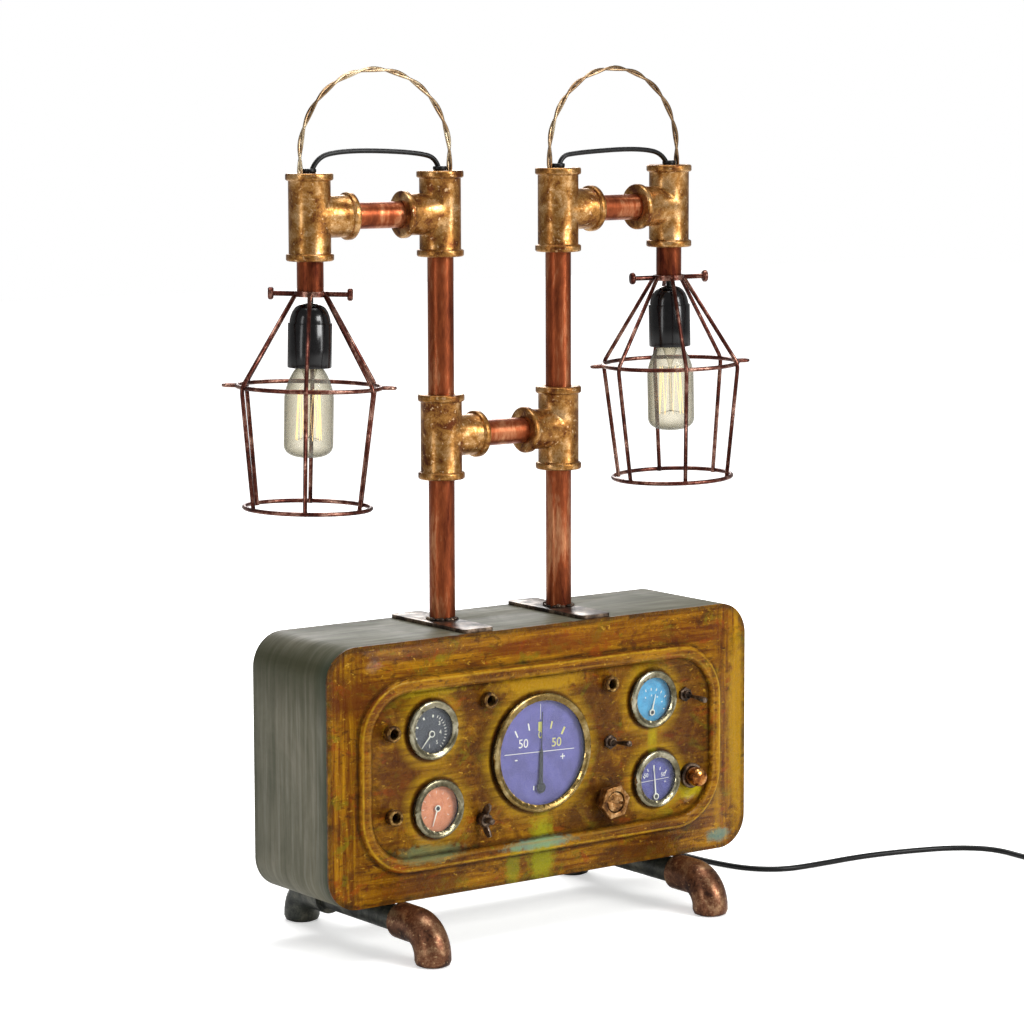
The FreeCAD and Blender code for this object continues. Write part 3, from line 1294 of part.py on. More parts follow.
def mains_coil():
    """The stored length: one unbroken tube wound in and out again, ending in the plug."""
    radius = float(d.cord_outer) / 2
    path = coil_path()
    edges = []
    for (start, way), (end, way_end) in zip(path, path[1:]):
        edges += biarc(start, way, end, way_end)
    last, way = path[-1]
    level = Vector(way.x, way.y, 0).normalize()
    tail = last + level * float(d.coil_tail)
    edges.append(Part.LineSegment(last, tail).toShape())
    lead = swept(edges, radius)
    length = sum(edge.Length for edge in edges)
    samples = []
    travelled = 0.0
    for edge in edges:
        count = 6
        for index in range(count):
            share = index / count
            at = edge.FirstParameter + (edge.LastParameter - edge.FirstParameter) * share
            samples.append((travelled + edge.Length * share, edge.valueAt(at)))
        travelled += edge.Length
    least = min(one.distanceToPoint(two) for i, (s, one) in enumerate(samples)
                for t, two in samples[i + 1:] if t - s > radius * 8)
    print("coil length", round(length, 1), "least gap to itself", round(least - 2 * radius, 2))
    print("coil volume over section by length",
          round(lead.Volume / (math.pi * radius ** 2 * length), 5))
    node(shaped("MainsCoil", lead), "mains_coil")
    return tail, level, length


def mains_plug(tail, level):
    """Flat two-pin plug lying on the table at the coil's end."""
    half_w, length, height = float(d.plug_width) / 2, float(d.plug_length), tail.z
    grip, shoulder = float(d.plug_grip) / 2, float(d.plug_shoulder)
    outline = [Vector(0, -grip * 0.7, 0), Vector(shoulder * 0.3, -grip, 0),
               Vector(shoulder * 0.7, -half_w * 0.75, 0), Vector(shoulder, -half_w, 0),
               Vector(length, -half_w * 0.92, 0)]
    mirrored = [Vector(point.x, -point.y, 0) for point in reversed(outline)]
    corners = outline + mirrored
    face = Part.Face(Part.makePolygon(corners + [corners[0]]))
    shell = face.extrude(Vector(0, 0, height * 2))
    shell = shell.makeFillet(2.2, [edge for edge in shell.Edges if edge.Length > 3.0])
    parts = [shell]
    for sign in (-1, 1):
        seat = Vector(length - 1, sign * float(d.pin_spacing) / 2, height)
        pin = Part.makeCylinder(float(d.pin_outer) / 2, float(d.pin_length) + 1, seat, ABOUT_X)
        parts.append(pin)
    plug = parts[0].multiFuse(parts[1:])
    turn = Rotation(ABOUT_X, level)
    spot = Placement(Vector(tail.x, tail.y, 0), turn)
    node(shaped("MainsPlug", plug, spot), "mains_plug")


def check_and_export():
    """Stops if any object failed or any piece isn't a valid solid, then writes every piece."""
    doc.recompute()
    for item in doc.Objects:
        if {"Invalid", "Error"} & set(item.State):
            raise RuntimeError(f"{item.Name} failed: {item.State}")
    os.makedirs("parts", exist_ok=True)
    for item in NODES:
        shape = item.Shape
        if shape.isNull() or not shape.isValid() or not shape.Solids:
            raise RuntimeError(f"{item.Label} is not a valid solid")
        shape.exportStep(f"parts/{item.Label}.step")
    print(len(NODES), "pieces written")


case_shell()
front_panel()
back_cover()
cover_screws()
top_straps()
frame_pipes()
mid_tees()
feet()
arms()
instruments()
bushes()
switch_bodies()
toggle_levers()
push_button()
selector()
wing_nut()
terminal_block()
gland()
cord_length = mains_cord()
coil_tail, coil_way, coil_length = mains_coil()
print("mains lead, whole length", round(cord_length + coil_length, 1))
mains_plug(coil_tail, coil_way)
check_and_export()
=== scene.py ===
"""Looks of an industrial pipe table lamp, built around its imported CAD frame.

Each sub-assembly is a class that dresses the CAD nodes it owns and models what the CAD leaves
plain: the twisted hoops, the leads, the bulbs' filaments, the dial markings and the weld beads.
Everything is in metres in the frame's own axes: +X right along the case, +Y to its back, +Z up.
"""
import logging
import math
import random
from dataclasses import dataclass
from enum import Enum
from functools import partial
from typing import Iterable, Sequence

import bpy
from mathutils import Matrix, Vector


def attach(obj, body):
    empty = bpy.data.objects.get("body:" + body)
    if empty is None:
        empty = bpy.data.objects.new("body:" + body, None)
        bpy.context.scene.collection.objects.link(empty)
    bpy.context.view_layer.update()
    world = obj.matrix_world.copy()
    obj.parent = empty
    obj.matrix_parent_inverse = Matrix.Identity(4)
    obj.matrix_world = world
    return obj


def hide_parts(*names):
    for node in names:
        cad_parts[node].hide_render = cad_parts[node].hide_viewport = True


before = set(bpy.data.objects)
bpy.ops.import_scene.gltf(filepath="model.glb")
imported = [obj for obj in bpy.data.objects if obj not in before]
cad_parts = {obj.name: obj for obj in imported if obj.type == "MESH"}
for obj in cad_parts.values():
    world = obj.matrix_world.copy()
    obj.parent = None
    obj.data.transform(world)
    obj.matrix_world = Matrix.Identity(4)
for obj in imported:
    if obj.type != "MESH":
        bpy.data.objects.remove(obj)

LOG = logging.getLogger("pipe_lamp")
MM = 0.001
TURN = 2 * math.pi
LAMP = "lamp_body"
POST_SPACING = 134.5
POST_Y = 7.0
MERGED = 0.00001
MERGED_TURNED = 0.000005
Point = tuple[float, float, float]
Piece = bpy.types.Object
Socket = bpy.types.NodeSocket


class Side(Enum):
    """One arm: its word, the sign of its post's X, its resting angle and its lead, in mm."""

    LEFT = ("left", -1.0, 175.0, 20.0, 163.4)
    RIGHT = ("right", 1.0, 1.0, 16.5, 159.2)

    def __init__(
        self, word: str, sign: float, angle: float, lead_rise: float, lead_length: float
    ) -> None:
        """Keeps the side's facts under their names."""
        self.word = word
        self.sign = sign
        self.angle = angle
        self.lead_rise = lead_rise
        self.lead_length = lead_length


# Node trees and colours


def linear(code: str) -> tuple[float, float, float, float]:
    """Turns an sRGB hex colour such as "#a0522d" into linear RGBA."""
    parts = [int(code[i : i + 2], 16) / 255 for i in (1, 3, 5)]
    rgb = [c / 12.92 if c <= 0.04045 else ((c + 0.055) / 1.055) ** 2.4 for c in parts]
    return rgb[0], rgb[1], rgb[2], 1.0


class Graph:
    """A node tree, with a method for each kind of node that repeats.

    Where a node takes a value, a socket is linked, a hex code becomes a colour, None leaves the
    input alone and anything else is set.
    """

    def __init__(self, tree: bpy.types.NodeTree) -> None:
        """Takes over a tree and empties it."""
        self.tree = tree
        tree.nodes.clear()

    def add(self, kind: str, inputs: dict | None = None, **settings: object) -> bpy.types.Node:
        """Adds a shader node, with its inputs by name or index and its own settings."""
        made = self.tree.nodes.new(f"ShaderNode{kind}")
        for name, value in settings.items():
            setattr(made, name, value)
        self.fill(made, inputs or {})
        return made

    def fill(self, node: bpy.types.Node, inputs: dict) -> None:
        """Links or sets a node's inputs."""
        for name, value in inputs.items():
            if isinstance(value, Socket):
                self.tree.links.new(value, node.inputs[name])
            elif value is not None:
                plain = linear(value) if isinstance(value, str) else value
                node.inputs[name].default_value = plain

    def place(self, scale: Point = (1.0, 1.0, 1.0)) -> Socket:
        """Object coordinates in metres, times a scale."""
        coords = self.add("TexCoord").outputs["Object"]
        return self.add("Mapping", {"Vector": coords, "Scale": scale}).outputs[0]

    def noise(
        self, place: Socket, scale: float, detail: float, rough: float = 0.5, warp: float = 0.0
    ) -> Socket:
        """Fractal noise, most of it near 0.5."""
        return self.add("TexNoise", {
            "Vector": place, "Scale": scale, "Detail": detail, "Roughness": rough,
            "Distortion": warp,
        }).outputs["Fac"]

    def ramp(self, amount: Socket, *stops: tuple[float, str | float]) -> Socket:
        """A ramp through hex colours or grey levels, each at its place."""
        made = self.add("ValToRGB", {"Fac": amount})
        elements = made.color_ramp.elements
        for index, (place, shade) in enumerate(stops):
            stop = elements[index] if index < len(elements) else elements.new(place)
            stop.position = place
            stop.color = linear(shade) if isinstance(shade, str) else (shade, shade, shade, 1.0)
        return made.outputs["Color"]

    def span(
        self, value: Socket, low: float, high: float, first: float = 0.0, last: float = 1.0
    ) -> Socket:
        """Maps the numbers from low to high onto those from first to last, and no further."""
        return self.add("MapRange", {
            "Value": value, "From Min": low, "From Max": high, "To Min": first, "To Max": last,
        }).outputs[0]

    def mix(self, amount: Socket | float, under: Socket | str, over: Socket | str) -> Socket:
        """Lays one colour over another."""
        inputs = {"Factor": amount, 6: under, 7: over}
        return self.add("Mix", inputs, data_type="RGBA").outputs[2]

    def math(self, operation: str, *values: Socket | float) -> Socket:
        """A number made from others."""
        return self.add("Math", dict(enumerate(values)), operation=operation).outputs[0]

    def vector(self, operation: str, *values: Socket | Point) -> Socket:
        """A vector made from others, or its length or distance."""
        made = self.add("VectorMath", dict(enumerate(values)), operation=operation)
        return made.outputs["Value" if operation in ("LENGTH", "DISTANCE") else "Vector"]

    def bump(
        self, height: Socket, strength: float, depth_mm: float, under: Socket | None = None
    ) -> Socket:
        """A relief, over another one where there is one under it."""
        return self.add("Bump", {
            "Height": height, "Strength": strength, "Distance": depth_mm * MM, "Normal": under,
        }).outputs[0]


class Coat(Graph):
    """A new material's tree, with its principled shader and its output."""

    def __init__(self, name: str) -> None:
        """Starts the material."""
        self.material = bpy.data.materials.new(name)
        self.material.use_nodes = True
        super().__init__(self.material.node_tree)
        self.shader = self.add("BsdfPrincipled")
        self.output = self.add("OutputMaterial", {"Surface": self.shader.outputs[0]})

    def shaded(self, **inputs: object) -> bpy.types.Material:
        """Fills the shader's inputs, with "_" for each space of their names."""
        self.fill(self.shader, {name.replace("_", " "): v for name, v in inputs.items()})
        return self.material

    def surfaced(self, shader: bpy.types.Node) -> bpy.types.Material:
        """Puts another shader in the principled one's place."""
        self.fill(self.output, {"Surface": shader.outputs[0]})
        return self.material


# Finishes


@dataclass(frozen=True)
class Finish:
    """A finish whose material is built when it is first used."""

    name: str

    def material(self) -> bpy.types.Material:
        """The finish's material."""
        return bpy.data.materials.get(self.name) or self.build()

    def build(self) -> bpy.types.Material:
        """Builds the node material."""
        raise NotImplementedError


@dataclass(frozen=True)
class AgedMetal(Finish):
    """Bare metal with patina: bright where it is rubbed, dark where it has oxidised.

    cell_mm is the size of the patina's patches and grain_mm that of the casting's or drawing's
    grain. stretch draws both out along the axes above 1. round_mm softens the edges' shading.
    """

    dark: str
    middle: str
    bright: str
    cell_mm: float
    grain_mm: float
    metallic: float = 0.85
    rough: tuple[float, float] = (0.28, 0.5)
    bump: float = 0.15
    stretch: Point = (1.0, 1.0, 1.0)
    stops: Point = (0.36, 0.5, 0.66)
    speck: str | None = None
    round_mm: float = 0.0
    grain_share: float = 0.35

    def build(self) -> bpy.types.Material:
        """Builds the node material."""
        coat = Coat(self.name)
        place = coat.place(tuple(1.0 / s for s in self.stretch))
        patches = coat.noise(place, 1.0 / (self.cell_mm * MM), 5.0, 0.62, 0.4)
        grain = coat.noise(place, 1.0 / (self.grain_mm * MM), 3.0, 0.7)
        blend = coat.math("MULTIPLY_ADD", grain, self.grain_share, patches)
        centred = coat.math("SUBTRACT", blend, self.grain_share / 2)
        colours = (self.dark, self.middle, self.bright)
        colour = coat.ramp(centred, *zip(self.stops, colours))
        if self.speck:
            flecks = coat.noise(place, 0.55 / (self.grain_mm * MM), 2.0)
            colour = coat.mix(coat.span(flecks, 0.63, 0.74), colour, self.speck)
        softened = None
        if self.round_mm:
            softened = coat.add("Bevel", {"Radius": self.round_mm * MM}, samples=6).outputs[0]
        return coat.shaded(
            Base_Color=colour,
            Roughness=coat.span(patches, 0.3, 0.7, self.rough[1], self.rough[0]),
            Normal=coat.bump(blend, self.bump, 0.6, softened),
            Metallic=self.metallic,
        )


@dataclass(frozen=True)
class Moulded(Finish):
    """Moulded plastic, rubber or plain paint: one colour with a little unevenness."""

    colour: str
    shade: str
    roughness: float
    cell_mm: float = 6.0
    lacquer: float = 0.0
    specular: float = 0.5

    def build(self) -> bpy.types.Material:
        """Builds the node material."""
        coat = Coat(self.name)
        noise = coat.noise(coat.place(), 1.0 / (self.cell_mm * MM), 4.0)
        return coat.shaded(
            Base_Color=coat.ramp(noise, (0.38, self.shade), (0.62, self.colour)),
            Roughness=coat.span(noise, 0.0, 1.0, self.roughness * 0.8, self.roughness * 1.2),
            Normal=coat.bump(noise, 0.04, 0.4),
            Coat_Weight=self.lacquer,
            Specular_IOR_Level=self.specular,
        )


@dataclass(frozen=True)
class ClearGlass(Finish):
    """Thin glass that lets the light straight through, more mirror-like and tinted edge on; a
    dark edge tint is painted shade at the glass's rim.
    """

    tint: str
    edge: str
    body: float
    rim: float

    def build(self) -> bpy.types.Material:
        """Builds the node material."""
        coat = Coat(self.name)
        coat.shaded(Base_Color=self.tint, Roughness=0.03, IOR=1.5)
        facing_away = coat.add("LayerWeight", {"Blend": 0.28}).outputs["Facing"]
        through = coat.mix(facing_away, self.tint, self.edge)
        clear = coat.add("BsdfTransparent", {"Color": through})
        amount = coat.span(facing_away, 0.0, 1.0, self.body, self.rim)
        return coat.surfaced(coat.add(
            "MixShader", {0: amount, 1: clear.outputs[0], 2: coat.shader.outputs[0]}
        ))


@dataclass(frozen=True)
class PaintedGlow(Finish):
    """Filament wire with a painted amber glow: it emits light although the bulb is not lit."""

    colour: str
    strength: float

    def build(self) -> bpy.types.Material:
        """Builds the node material."""
        return Coat(self.name).shaded(
            Base_Color=self.colour, Roughness=0.5, Emission_Color=self.colour,
            Emission_Strength=self.strength,
        )


@dataclass(frozen=True)
class Stain:
    """A soft patch of another colour at (x, z) on the front panel, half sizes in millimetres."""

    x: float
    z: float
    half_x: float
    half_z: float
    colour: str
    strength: float


@dataclass(frozen=True)
class Fleck:
    """Scattered spots of one colour: their cell in millimetres, drawn out along X."""

    cell_mm: float
    stretch: float
    level: float
    soft: float
    colour: str
    strength: float = 0.6


@dataclass(frozen=True)
class Loop:
    """A rectangle with round corners about the middle of the front panel. Millimetres."""

    middle_z: float
    half_x: float
    half_z: float
    corner: float

    def reach(self, coat: Coat, parts: bpy.types.NodeOutputs) -> Socket:
        """A distance that is nought well inside the loop and `corner` on its line."""
        beyond = []
        for axis, middle, half in (("X", 0.0, self.half_x), ("Z", self.middle_z, self.half_z)):
            away = coat.math("ABSOLUTE", coat.math("SUBTRACT", parts[axis], middle))
            over = coat.math("SUBTRACT", away, half - self.corner)
            beyond.append(coat.math("MAXIMUM", over, 0.0))
        flat = coat.add("CombineXYZ", {0: beyond[0], 1: beyond[1]}).outputs[0]
        return coat.vector("LENGTH", flat)


@dataclass(frozen=True)
class StreakedPaint(Finish):
    """Brown enamel dragged with mustard and rust by a dry brush, with drips of other colours.

    Outside the race-track bead the strokes follow the nearest side of the panel. Inside it the
    paint is darker and mottled. Each rim is an instrument's (x, z, radius).
    """

    name: str = "dry_brushed_rust_enamel"
    bead: Loop = Loop(164.0, 208.0, 89.0, 55.0)
    outline: Loop = Loop(167.75, 240.0, 118.75, 31.0)
    band: float = 13.5
    rims: tuple[Point, ...] = (
        (-6.0, 168.5, 55.5), (-128.5, 203.5, 27.0), (-122.5, 130.5, 27.0),
        (125.0, 204.0, 27.0), (130.0, 127.0, 27.0),
    )
    stains: tuple[Stain, ...] = (
        Stain(-4, 76, 17, 38, "#94941a", 0.85),
        Stain(-37, 64, 9, 24, "#8a9022", 0.6),
        Stain(-8, 84, 44, 6, "#6d9a86", 0.65),
        Stain(-132, 90, 40, 9, "#64805c", 0.6),
        Stain(208, 62, 16, 7, "#4f8f88", 0.6),
        Stain(127, 166, 6, 22, "#a8a014", 0.8),
        Stain(172, 110, 16, 8, "#c2b41a", 0.7),
        Stain(230, 170, 13, 112, "#a87e08", 0.8),
        Stain(206, 150, 6, 80, "#b98a12", 0.5),
        Stain(-129, 238, 40, 5, "#b8a01c", 0.6),
        Stain(-6, 234, 60, 10, "#b08414", 0.85),
        Stain(60, 190, 26, 46, "#3d1b0a", 0.6),
        Stain(-60, 170, 26, 60, "#35190a", 0.6),
        Stain(60, 105, 46, 34, "#2c1408", 0.6),
        Stain(160, 165, 34, 44, "#3e170b", 0.6),
        Stain(-160, 165, 26, 50, "#4a200d", 0.6),
        Stain(-205, 240, 46, 20, "#5a240d", 0.6),
        Stain(20, 268, 90, 12, "#6b2c0d", 0.6),
        Stain(160, 262, 60, 10, "#5e260e", 0.6),
        Stain(-150, 60, 70, 9, "#6a3a0c", 0.5),
        Stain(110, 58, 60, 9, "#4c2a0a", 0.6),
    )
    flecks: tuple[Fleck, ...] = (
        Fleck(36, 1.4, 0.52, 0.09, "#44210a"),
        Fleck(22, 1.3, 0.57, 0.08, "#6c6a12"),
        Fleck(14, 1.8, 0.58, 0.06, "#8c3c0e"),
        Fleck(26, 1.2, 0.60, 0.05, "#2c1010"),
        Fleck(5, 2.2, 0.57, 0.06, "#2a1406"),
        Fleck(3.6, 1.8, 0.61, 0.05, "#d0a032"),
    )

    def build(self) -> bpy.types.Material:
        """Builds the node material from object coordinates in millimetres."""
        coat = Coat(self.name)
        place = coat.place((1000.0, 1000.0, 1000.0))
        parts = coat.add("SeparateXYZ", {0: place}).outputs
        track, outline = self.bead.reach(coat, parts), self.outline.reach(coat, parts)
        crest = self.bead.corner
        valley, edge = crest - self.band, self.outline.corner
        strokes = self._strokes(coat, place, parts)
        mottle = coat.noise(place, 0.045, 8.0, 0.72, 1.2)
        border = coat.ramp(
            strokes, (0.3, "#3e1c03"), (0.42, "#683806"), (0.51, "#84540a"), (0.66, "#ae7a0e")
        )
        within = coat.ramp(
            mottle, (0.34, "#2c1406"), (0.46, "#54300c"), (0.55, "#7a4e10"), (0.68, "#b0861a")
        )
        inside = coat.span(track, valley - 6, crest - 4, 1.0, 0.0)
        colour = coat.mix(inside, border, coat.mix(0.35, within, border))
        for index, fleck in enumerate(self.flecks):
            colour = self._flecked(coat, place, colour, fleck, index)
        ragged = coat.noise(place, 0.16, 5.0, 0.7)
        for stain in self.stains:
            colour = self._stained(coat, place, ragged, colour, stain)
        lined = partial(self._lined, coat)
        # Painted shade: dark lines in both valleys of the bead. Then painted highlights: mustard
        # lines along its crest and inside it.
        colour = lined(colour, track, mottle, "#1a0b04", 0.92, (
            (valley - 3.5, 0.0), (valley - 0.5, 1.0), (valley + 1.5, 0.0), (crest - 1.2, 0.0),
            (crest + 0.8, 1.0), (crest + 3.5, 0.0)))
        colour = lined(colour, track, mottle, "#c49a24", 0.75, (
            (crest - 4.5, 0.0), (crest - 2.8, 1.0), (crest - 1.4, 0.0)))
        colour = lined(colour, track, strokes, "#a0762a", 0.6, (
            (valley + 2.0, 0.0), (valley + 3.6, 1.0), (valley + 5.5, 0.0)))
        # A mustard halo and a dark seam round each instrument.
        for x, z, radius in self.rims:
            flat = coat.vector("MULTIPLY", place, (1.0, 0.0, 1.0))
            about = coat.vector("DISTANCE", flat, (x, 0.0, z))
            colour = lined(colour, about, strokes, "#ab841a", 0.85, (
                (radius + 1.0, 0.0), (radius + 4.0, 1.0), (radius + 14.0, 0.0)))
            colour = lined(colour, about, mottle, "#1e0e05", 0.85, (
                (radius - 2.0, 1.0), (radius + 0.8, 1.0), (radius + 3.4, 0.0)))
        colour = lined(colour, outline, mottle, "#241608", 0.8, (
            (edge - 6, 0.0), (edge - 3.0, 1.0), (edge, 1.0)))
        brushed = coat.bump(strokes, 0.8, 1.2)
        blotched = coat.bump(mottle, 0.7, 3.2, brushed)
        gritty = coat.bump(coat.noise(place, 0.4, 4.0, 0.65), 0.75, 1.1, blotched)
        return coat.shaded(
            Base_Color=colour, Roughness=coat.span(mottle, 0.3, 0.7, 0.5, 0.26),
            Normal=gritty, Specular_IOR_Level=0.4, Specular_Tint="#b8862c",
            Coat_Weight=0.08, Coat_Roughness=0.14,
        )

    def _strokes(self, coat: Coat, place: Socket, parts: bpy.types.NodeOutputs) -> Socket:
        """Brush strokes: noise drawn out along X, or along Z at the panel's two ends."""
        ends = coat.span(
            coat.math("ABSOLUTE", parts["X"]), self.bead.half_x - 12, self.bead.half_x + 6
        )
        level, upright = (
            coat.noise(
                coat.add("Mapping", {"Vector": place, "Scale": squeeze}).outputs[0],
                1.0, 7.0, 0.68, 0.35,
            )
            for squeeze in ((0.012, 0.2, 0.2), (0.2, 0.2, 0.012))
        )
        inputs = {"Factor": ends, 2: level, 3: upright}
        return coat.add("Mix", inputs, data_type="FLOAT").outputs[0]

    @staticmethod
    def _lined(
        coat: Coat, under: Socket, distance: Socket, broken: Socket, code: str, strength: float,
        profile: Sequence[tuple[float, float]],
    ) -> Socket:
        """Lays a broken line of colour where the distance falls inside a profile."""
        low, high = profile[0][0] - 1.0, profile[-1][0] + 1.0
        line = coat.ramp(
            coat.span(distance, low, high),
            *(((place - low) / (high - low), level) for place, level in profile),
        )
        worn = coat.span(broken, 0.36, 0.6, 0.25 * strength, strength)
        return coat.mix(coat.math("MULTIPLY", line, worn), under, code)

    @staticmethod
    def _flecked(
        coat: Coat, place: Socket, under: Socket, fleck: Fleck, index: int
    ) -> Socket:
        """Scatters one kind of fleck over the colour under it."""
        cell = fleck.cell_mm
        scaled = coat.add("Mapping", {
            "Vector": place, "Location": (31.7 * (index + 1), 0.0, 17.3 * index),
            "Scale": (1 / cell / fleck.stretch, 1 / cell, 1 / cell),
        })
        noise = coat.noise(scaled.outputs[0], 1.0, 5.0, 0.66, 0.5)
        mask = coat.span(noise, fleck.level, fleck.level + fleck.soft, 0.0, fleck.strength)
        return coat.mix(mask, under, fleck.colour)

    @staticmethod
    def _stained(
        coat: Coat, place: Socket, ragged: Socket, under: Socket, stain: Stain
    ) -> Socket:
        """Lays one ragged soft patch over the colour under it."""
        centred = coat.vector("SUBTRACT", place, (stain.x, 0.0, stain.z))
        scaled = coat.vector("MULTIPLY", centred, (1 / stain.half_x, 0.0, 1 / stain.half_z))
        torn = coat.math("MULTIPLY_ADD", ragged, 1.6, coat.vector("LENGTH", scaled))
        mask = coat.span(torn, 1.35, 1.9, stain.strength, 0.0)
        return coat.mix(mask, under, stain.colour)


@dataclass(frozen=True)
class CasePaint(Finish):
    """Grey-green enamel rubbed through to grey in fine brush marks, darker at its edges."""

    name: str = "rubbed_grey_green_enamel"

    def build(self) -> bpy.types.Material:
        """Builds the node material."""
        coat = Coat(self.name)
        streaks = coat.noise(coat.place((9.0, 130.0, 8.0)), 1.0, 7.0, 0.66, 0.3)
        clouds = coat.noise(coat.place(), 13.0, 6.0, 0.65, 0.6)
        rubbed = coat.ramp(streaks, (0.3, "#4c4c3f"), (0.5, "#716e60"), (0.7, "#9c978a"))
        green = coat.ramp(clouds, (0.3, "#474a39"), (0.52, "#686653"), (0.72, "#857e6c"))
        colour = coat.mix(0.45, rubbed, green)
        parts = coat.add("SeparateXYZ", {0: coat.place((1000.0, 1000.0, 1000.0))}).outputs
        ceiling = coat.span(parts["Z"], 270.0, 285.0, 1.0, 0.3)
        # Painted shade: the sides darken towards the top, up to the rounded top corner, which
        # stays lighter. The case also darkens towards its front and back edges. All of it fades
        # to 0.3 of its strength over the rounded corner and the top.
        for axis, low, high, strength, code in (
            ("Z", 212.0, 266.0, 0.8, "#34351f"), ("Y", -38.0, -60.0, 0.6, "#2b392f"),
            ("Y", 52.0, 66.0, 0.6, "#34372c"),
        ):
            near = coat.span(parts[axis], low, high, 0.0, strength)
            colour = coat.mix(coat.math("MULTIPLY", near, ceiling), colour, code)
        return coat.shaded(
            Base_Color=colour, Roughness=coat.span(clouds, 0.3, 0.7, 0.62, 0.45),
            Normal=coat.bump(streaks, 0.15, 0.5), Specular_IOR_Level=0.14,
        )


class Look:
    """Every finish of the lamp, by what it covers."""

    # Drawn copper pipe gone brown in the air, rubbed bright along its front.
    copper_pipe = AgedMetal(
        "aged_copper_pipe", "#421405", "#8f4726", "#d0956a", 26, 3.0, metallic=0.88,
        rough=(0.3, 0.46), bump=0.08, stretch=(1.0, 1.0, 5.0), stops=(0.3, 0.52, 0.74),
    )
    # Sand-cast brass fittings with gold rubbed highs and a brown skin in the lows.
    cast_brass = AgedMetal(
        "cast_brass_fitting", "#5a2c10", "#9b6b31", "#d6ac78", 15, 1.8, metallic=0.84,
        rough=(0.24, 0.42), bump=0.16, stops=(0.34, 0.5, 0.7), speck="#d8b284", round_mm=2.0,
    )
    # Street elbows bronzed with brown wax, a few gold flecks showing.
    bronze_foot = AgedMetal(
        "waxed_bronze_elbow", "#361c10", "#714830", "#b08c68", 15, 2.0, metallic=0.75,
        rough=(0.28, 0.46), bump=0.16, stops=(0.32, 0.5, 0.72), speck="#b8946c",
    )
    # The same at the back, where the case's dark enamel went over it.
    painted_foot = AgedMetal(
        "painted_runner", "#1d201c", "#3b3d36", "#5b5a4e", 18, 2.0, metallic=0.4,
        rough=(0.3, 0.5), bump=0.1,
    )
    # Welded steel wire, copper plated and darkened.
    cage_wire = AgedMetal(
        "coppered_cage_wire", "#2a0f0b", "#5c2d22", "#b8907e", 18, 2.5,
        rough=(0.24, 0.42), bump=0.05, stops=(0.3, 0.5, 0.74),
    )
    # Two brass rods twisted cold, bright on their outsides.
    hoop_brass = AgedMetal(
        "twisted_brass_rod", "#5c4530", "#94795a", "#d2c2a2", 34, 4.0, metallic=0.92,
        rough=(0.24, 0.34), bump=0.02, stops=(0.3, 0.5, 0.7),
    )
    # The large spun bezel: brass under brown grime, rubbed silvery on its crest.
    bezel = AgedMetal(
        "grimy_brass_bezel", "#4c3a1a", "#80693a", "#b5a478", 24, 3.0, metallic=0.9,
        rough=(0.2, 0.32), bump=0.02, stops=(0.32, 0.52, 0.74),
    )
    # The small bezels: nickel gone grey-green.
    small_bezel = AgedMetal(
        "grey_nickel_bezel", "#4b4430", "#7f7961", "#bdb7a0", 20, 3.0, metallic=0.9,
        rough=(0.2, 0.32), bump=0.02, stops=(0.32, 0.52, 0.74),
    )
    # Mild steel straps and fasteners, hot and brown from the torch.
    torched_steel = AgedMetal(
        "torched_steel", "#1d1713", "#4a3b30", "#857260", 14, 2.0, metallic=0.75,
        rough=(0.26, 0.48), bump=0.12,
    )
    # Turned brass bushes dulled by paint and dirt.
    dull_bush = AgedMetal(
        "dulled_bush", "#2a190d", "#6a4a20", "#b89353", 6, 1.2, metallic=0.75,
        rough=(0.26, 0.46),
    )
    # Selector hexagon and core: yellow brass, dark in its corners.
    selector_brass = AgedMetal(
        "worn_selector_brass", "#4a2c12", "#936636", "#d0a876", 9, 1.5, rough=(0.24, 0.42),
        bump=0.1,
    )
    # Copper dome of the push button, polished by fingers.
    button_copper = AgedMetal(
        "polished_copper_dome", "#6a3a18", "#a9682f", "#dca660", 10, 2.0, metallic=0.9,
        rough=(0.14, 0.28), bump=0.04,
    )
    cap_brass = AgedMetal(
        "pressed_brass_cap", "#6d5427", "#a98848", "#dcc07d", 8, 1.5, bump=0.1
    )
    zinc = AgedMetal("zinc_plated_steel", "#4d4b46", "#8a8880", "#c0beb6", 7, 1.2, bump=0.1)
    case_paint = CasePaint()
    panel_paint = StreakedPaint()
    # Pressed phenolic is black and glossy, a PVC sheath black with a soft sheen.
    phenolic = Moulded("black_phenolic", "#0c0a0b", "#050405", 0.2, lacquer=0.15, specular=0.35)
    cable = Moulded("black_pvc_sheath", "#0b0b0b", "#050505", 0.4, specular=0.3)
    can = Moulded("black_instrument_can", "#141312", "#0a0a0a", 0.5)
    # Silk-screened dial enamels, a little chalky with age.
    violet = Moulded("violet_dial_enamel", "#665f9e", "#575089", 0.55, cell_mm=14)
    small_violet = Moulded("dark_violet_dial_enamel", "#4d4b90", "#403d7c", 0.55, cell_mm=9)
    black = Moulded("black_dial_enamel", "#3a3b40", "#2c2d31", 0.5)
    salmon = Moulded("salmon_dial_enamel", "#e08c5a", "#d07a4a", 0.6)
    blue = Moulded("sky_blue_dial_enamel", "#41a2c8", "#338cb2", 0.5)
    pale = Moulded("pale_dial_ink", "#f2ecd6", "#e6dfc6", 0.6)
    yellow = Moulded("yellow_dial_ink", "#dcd46c", "#cfc65c", 0.6)
    needle = Moulded("black_needle_enamel", "#17161c", "#101014", 0.4)
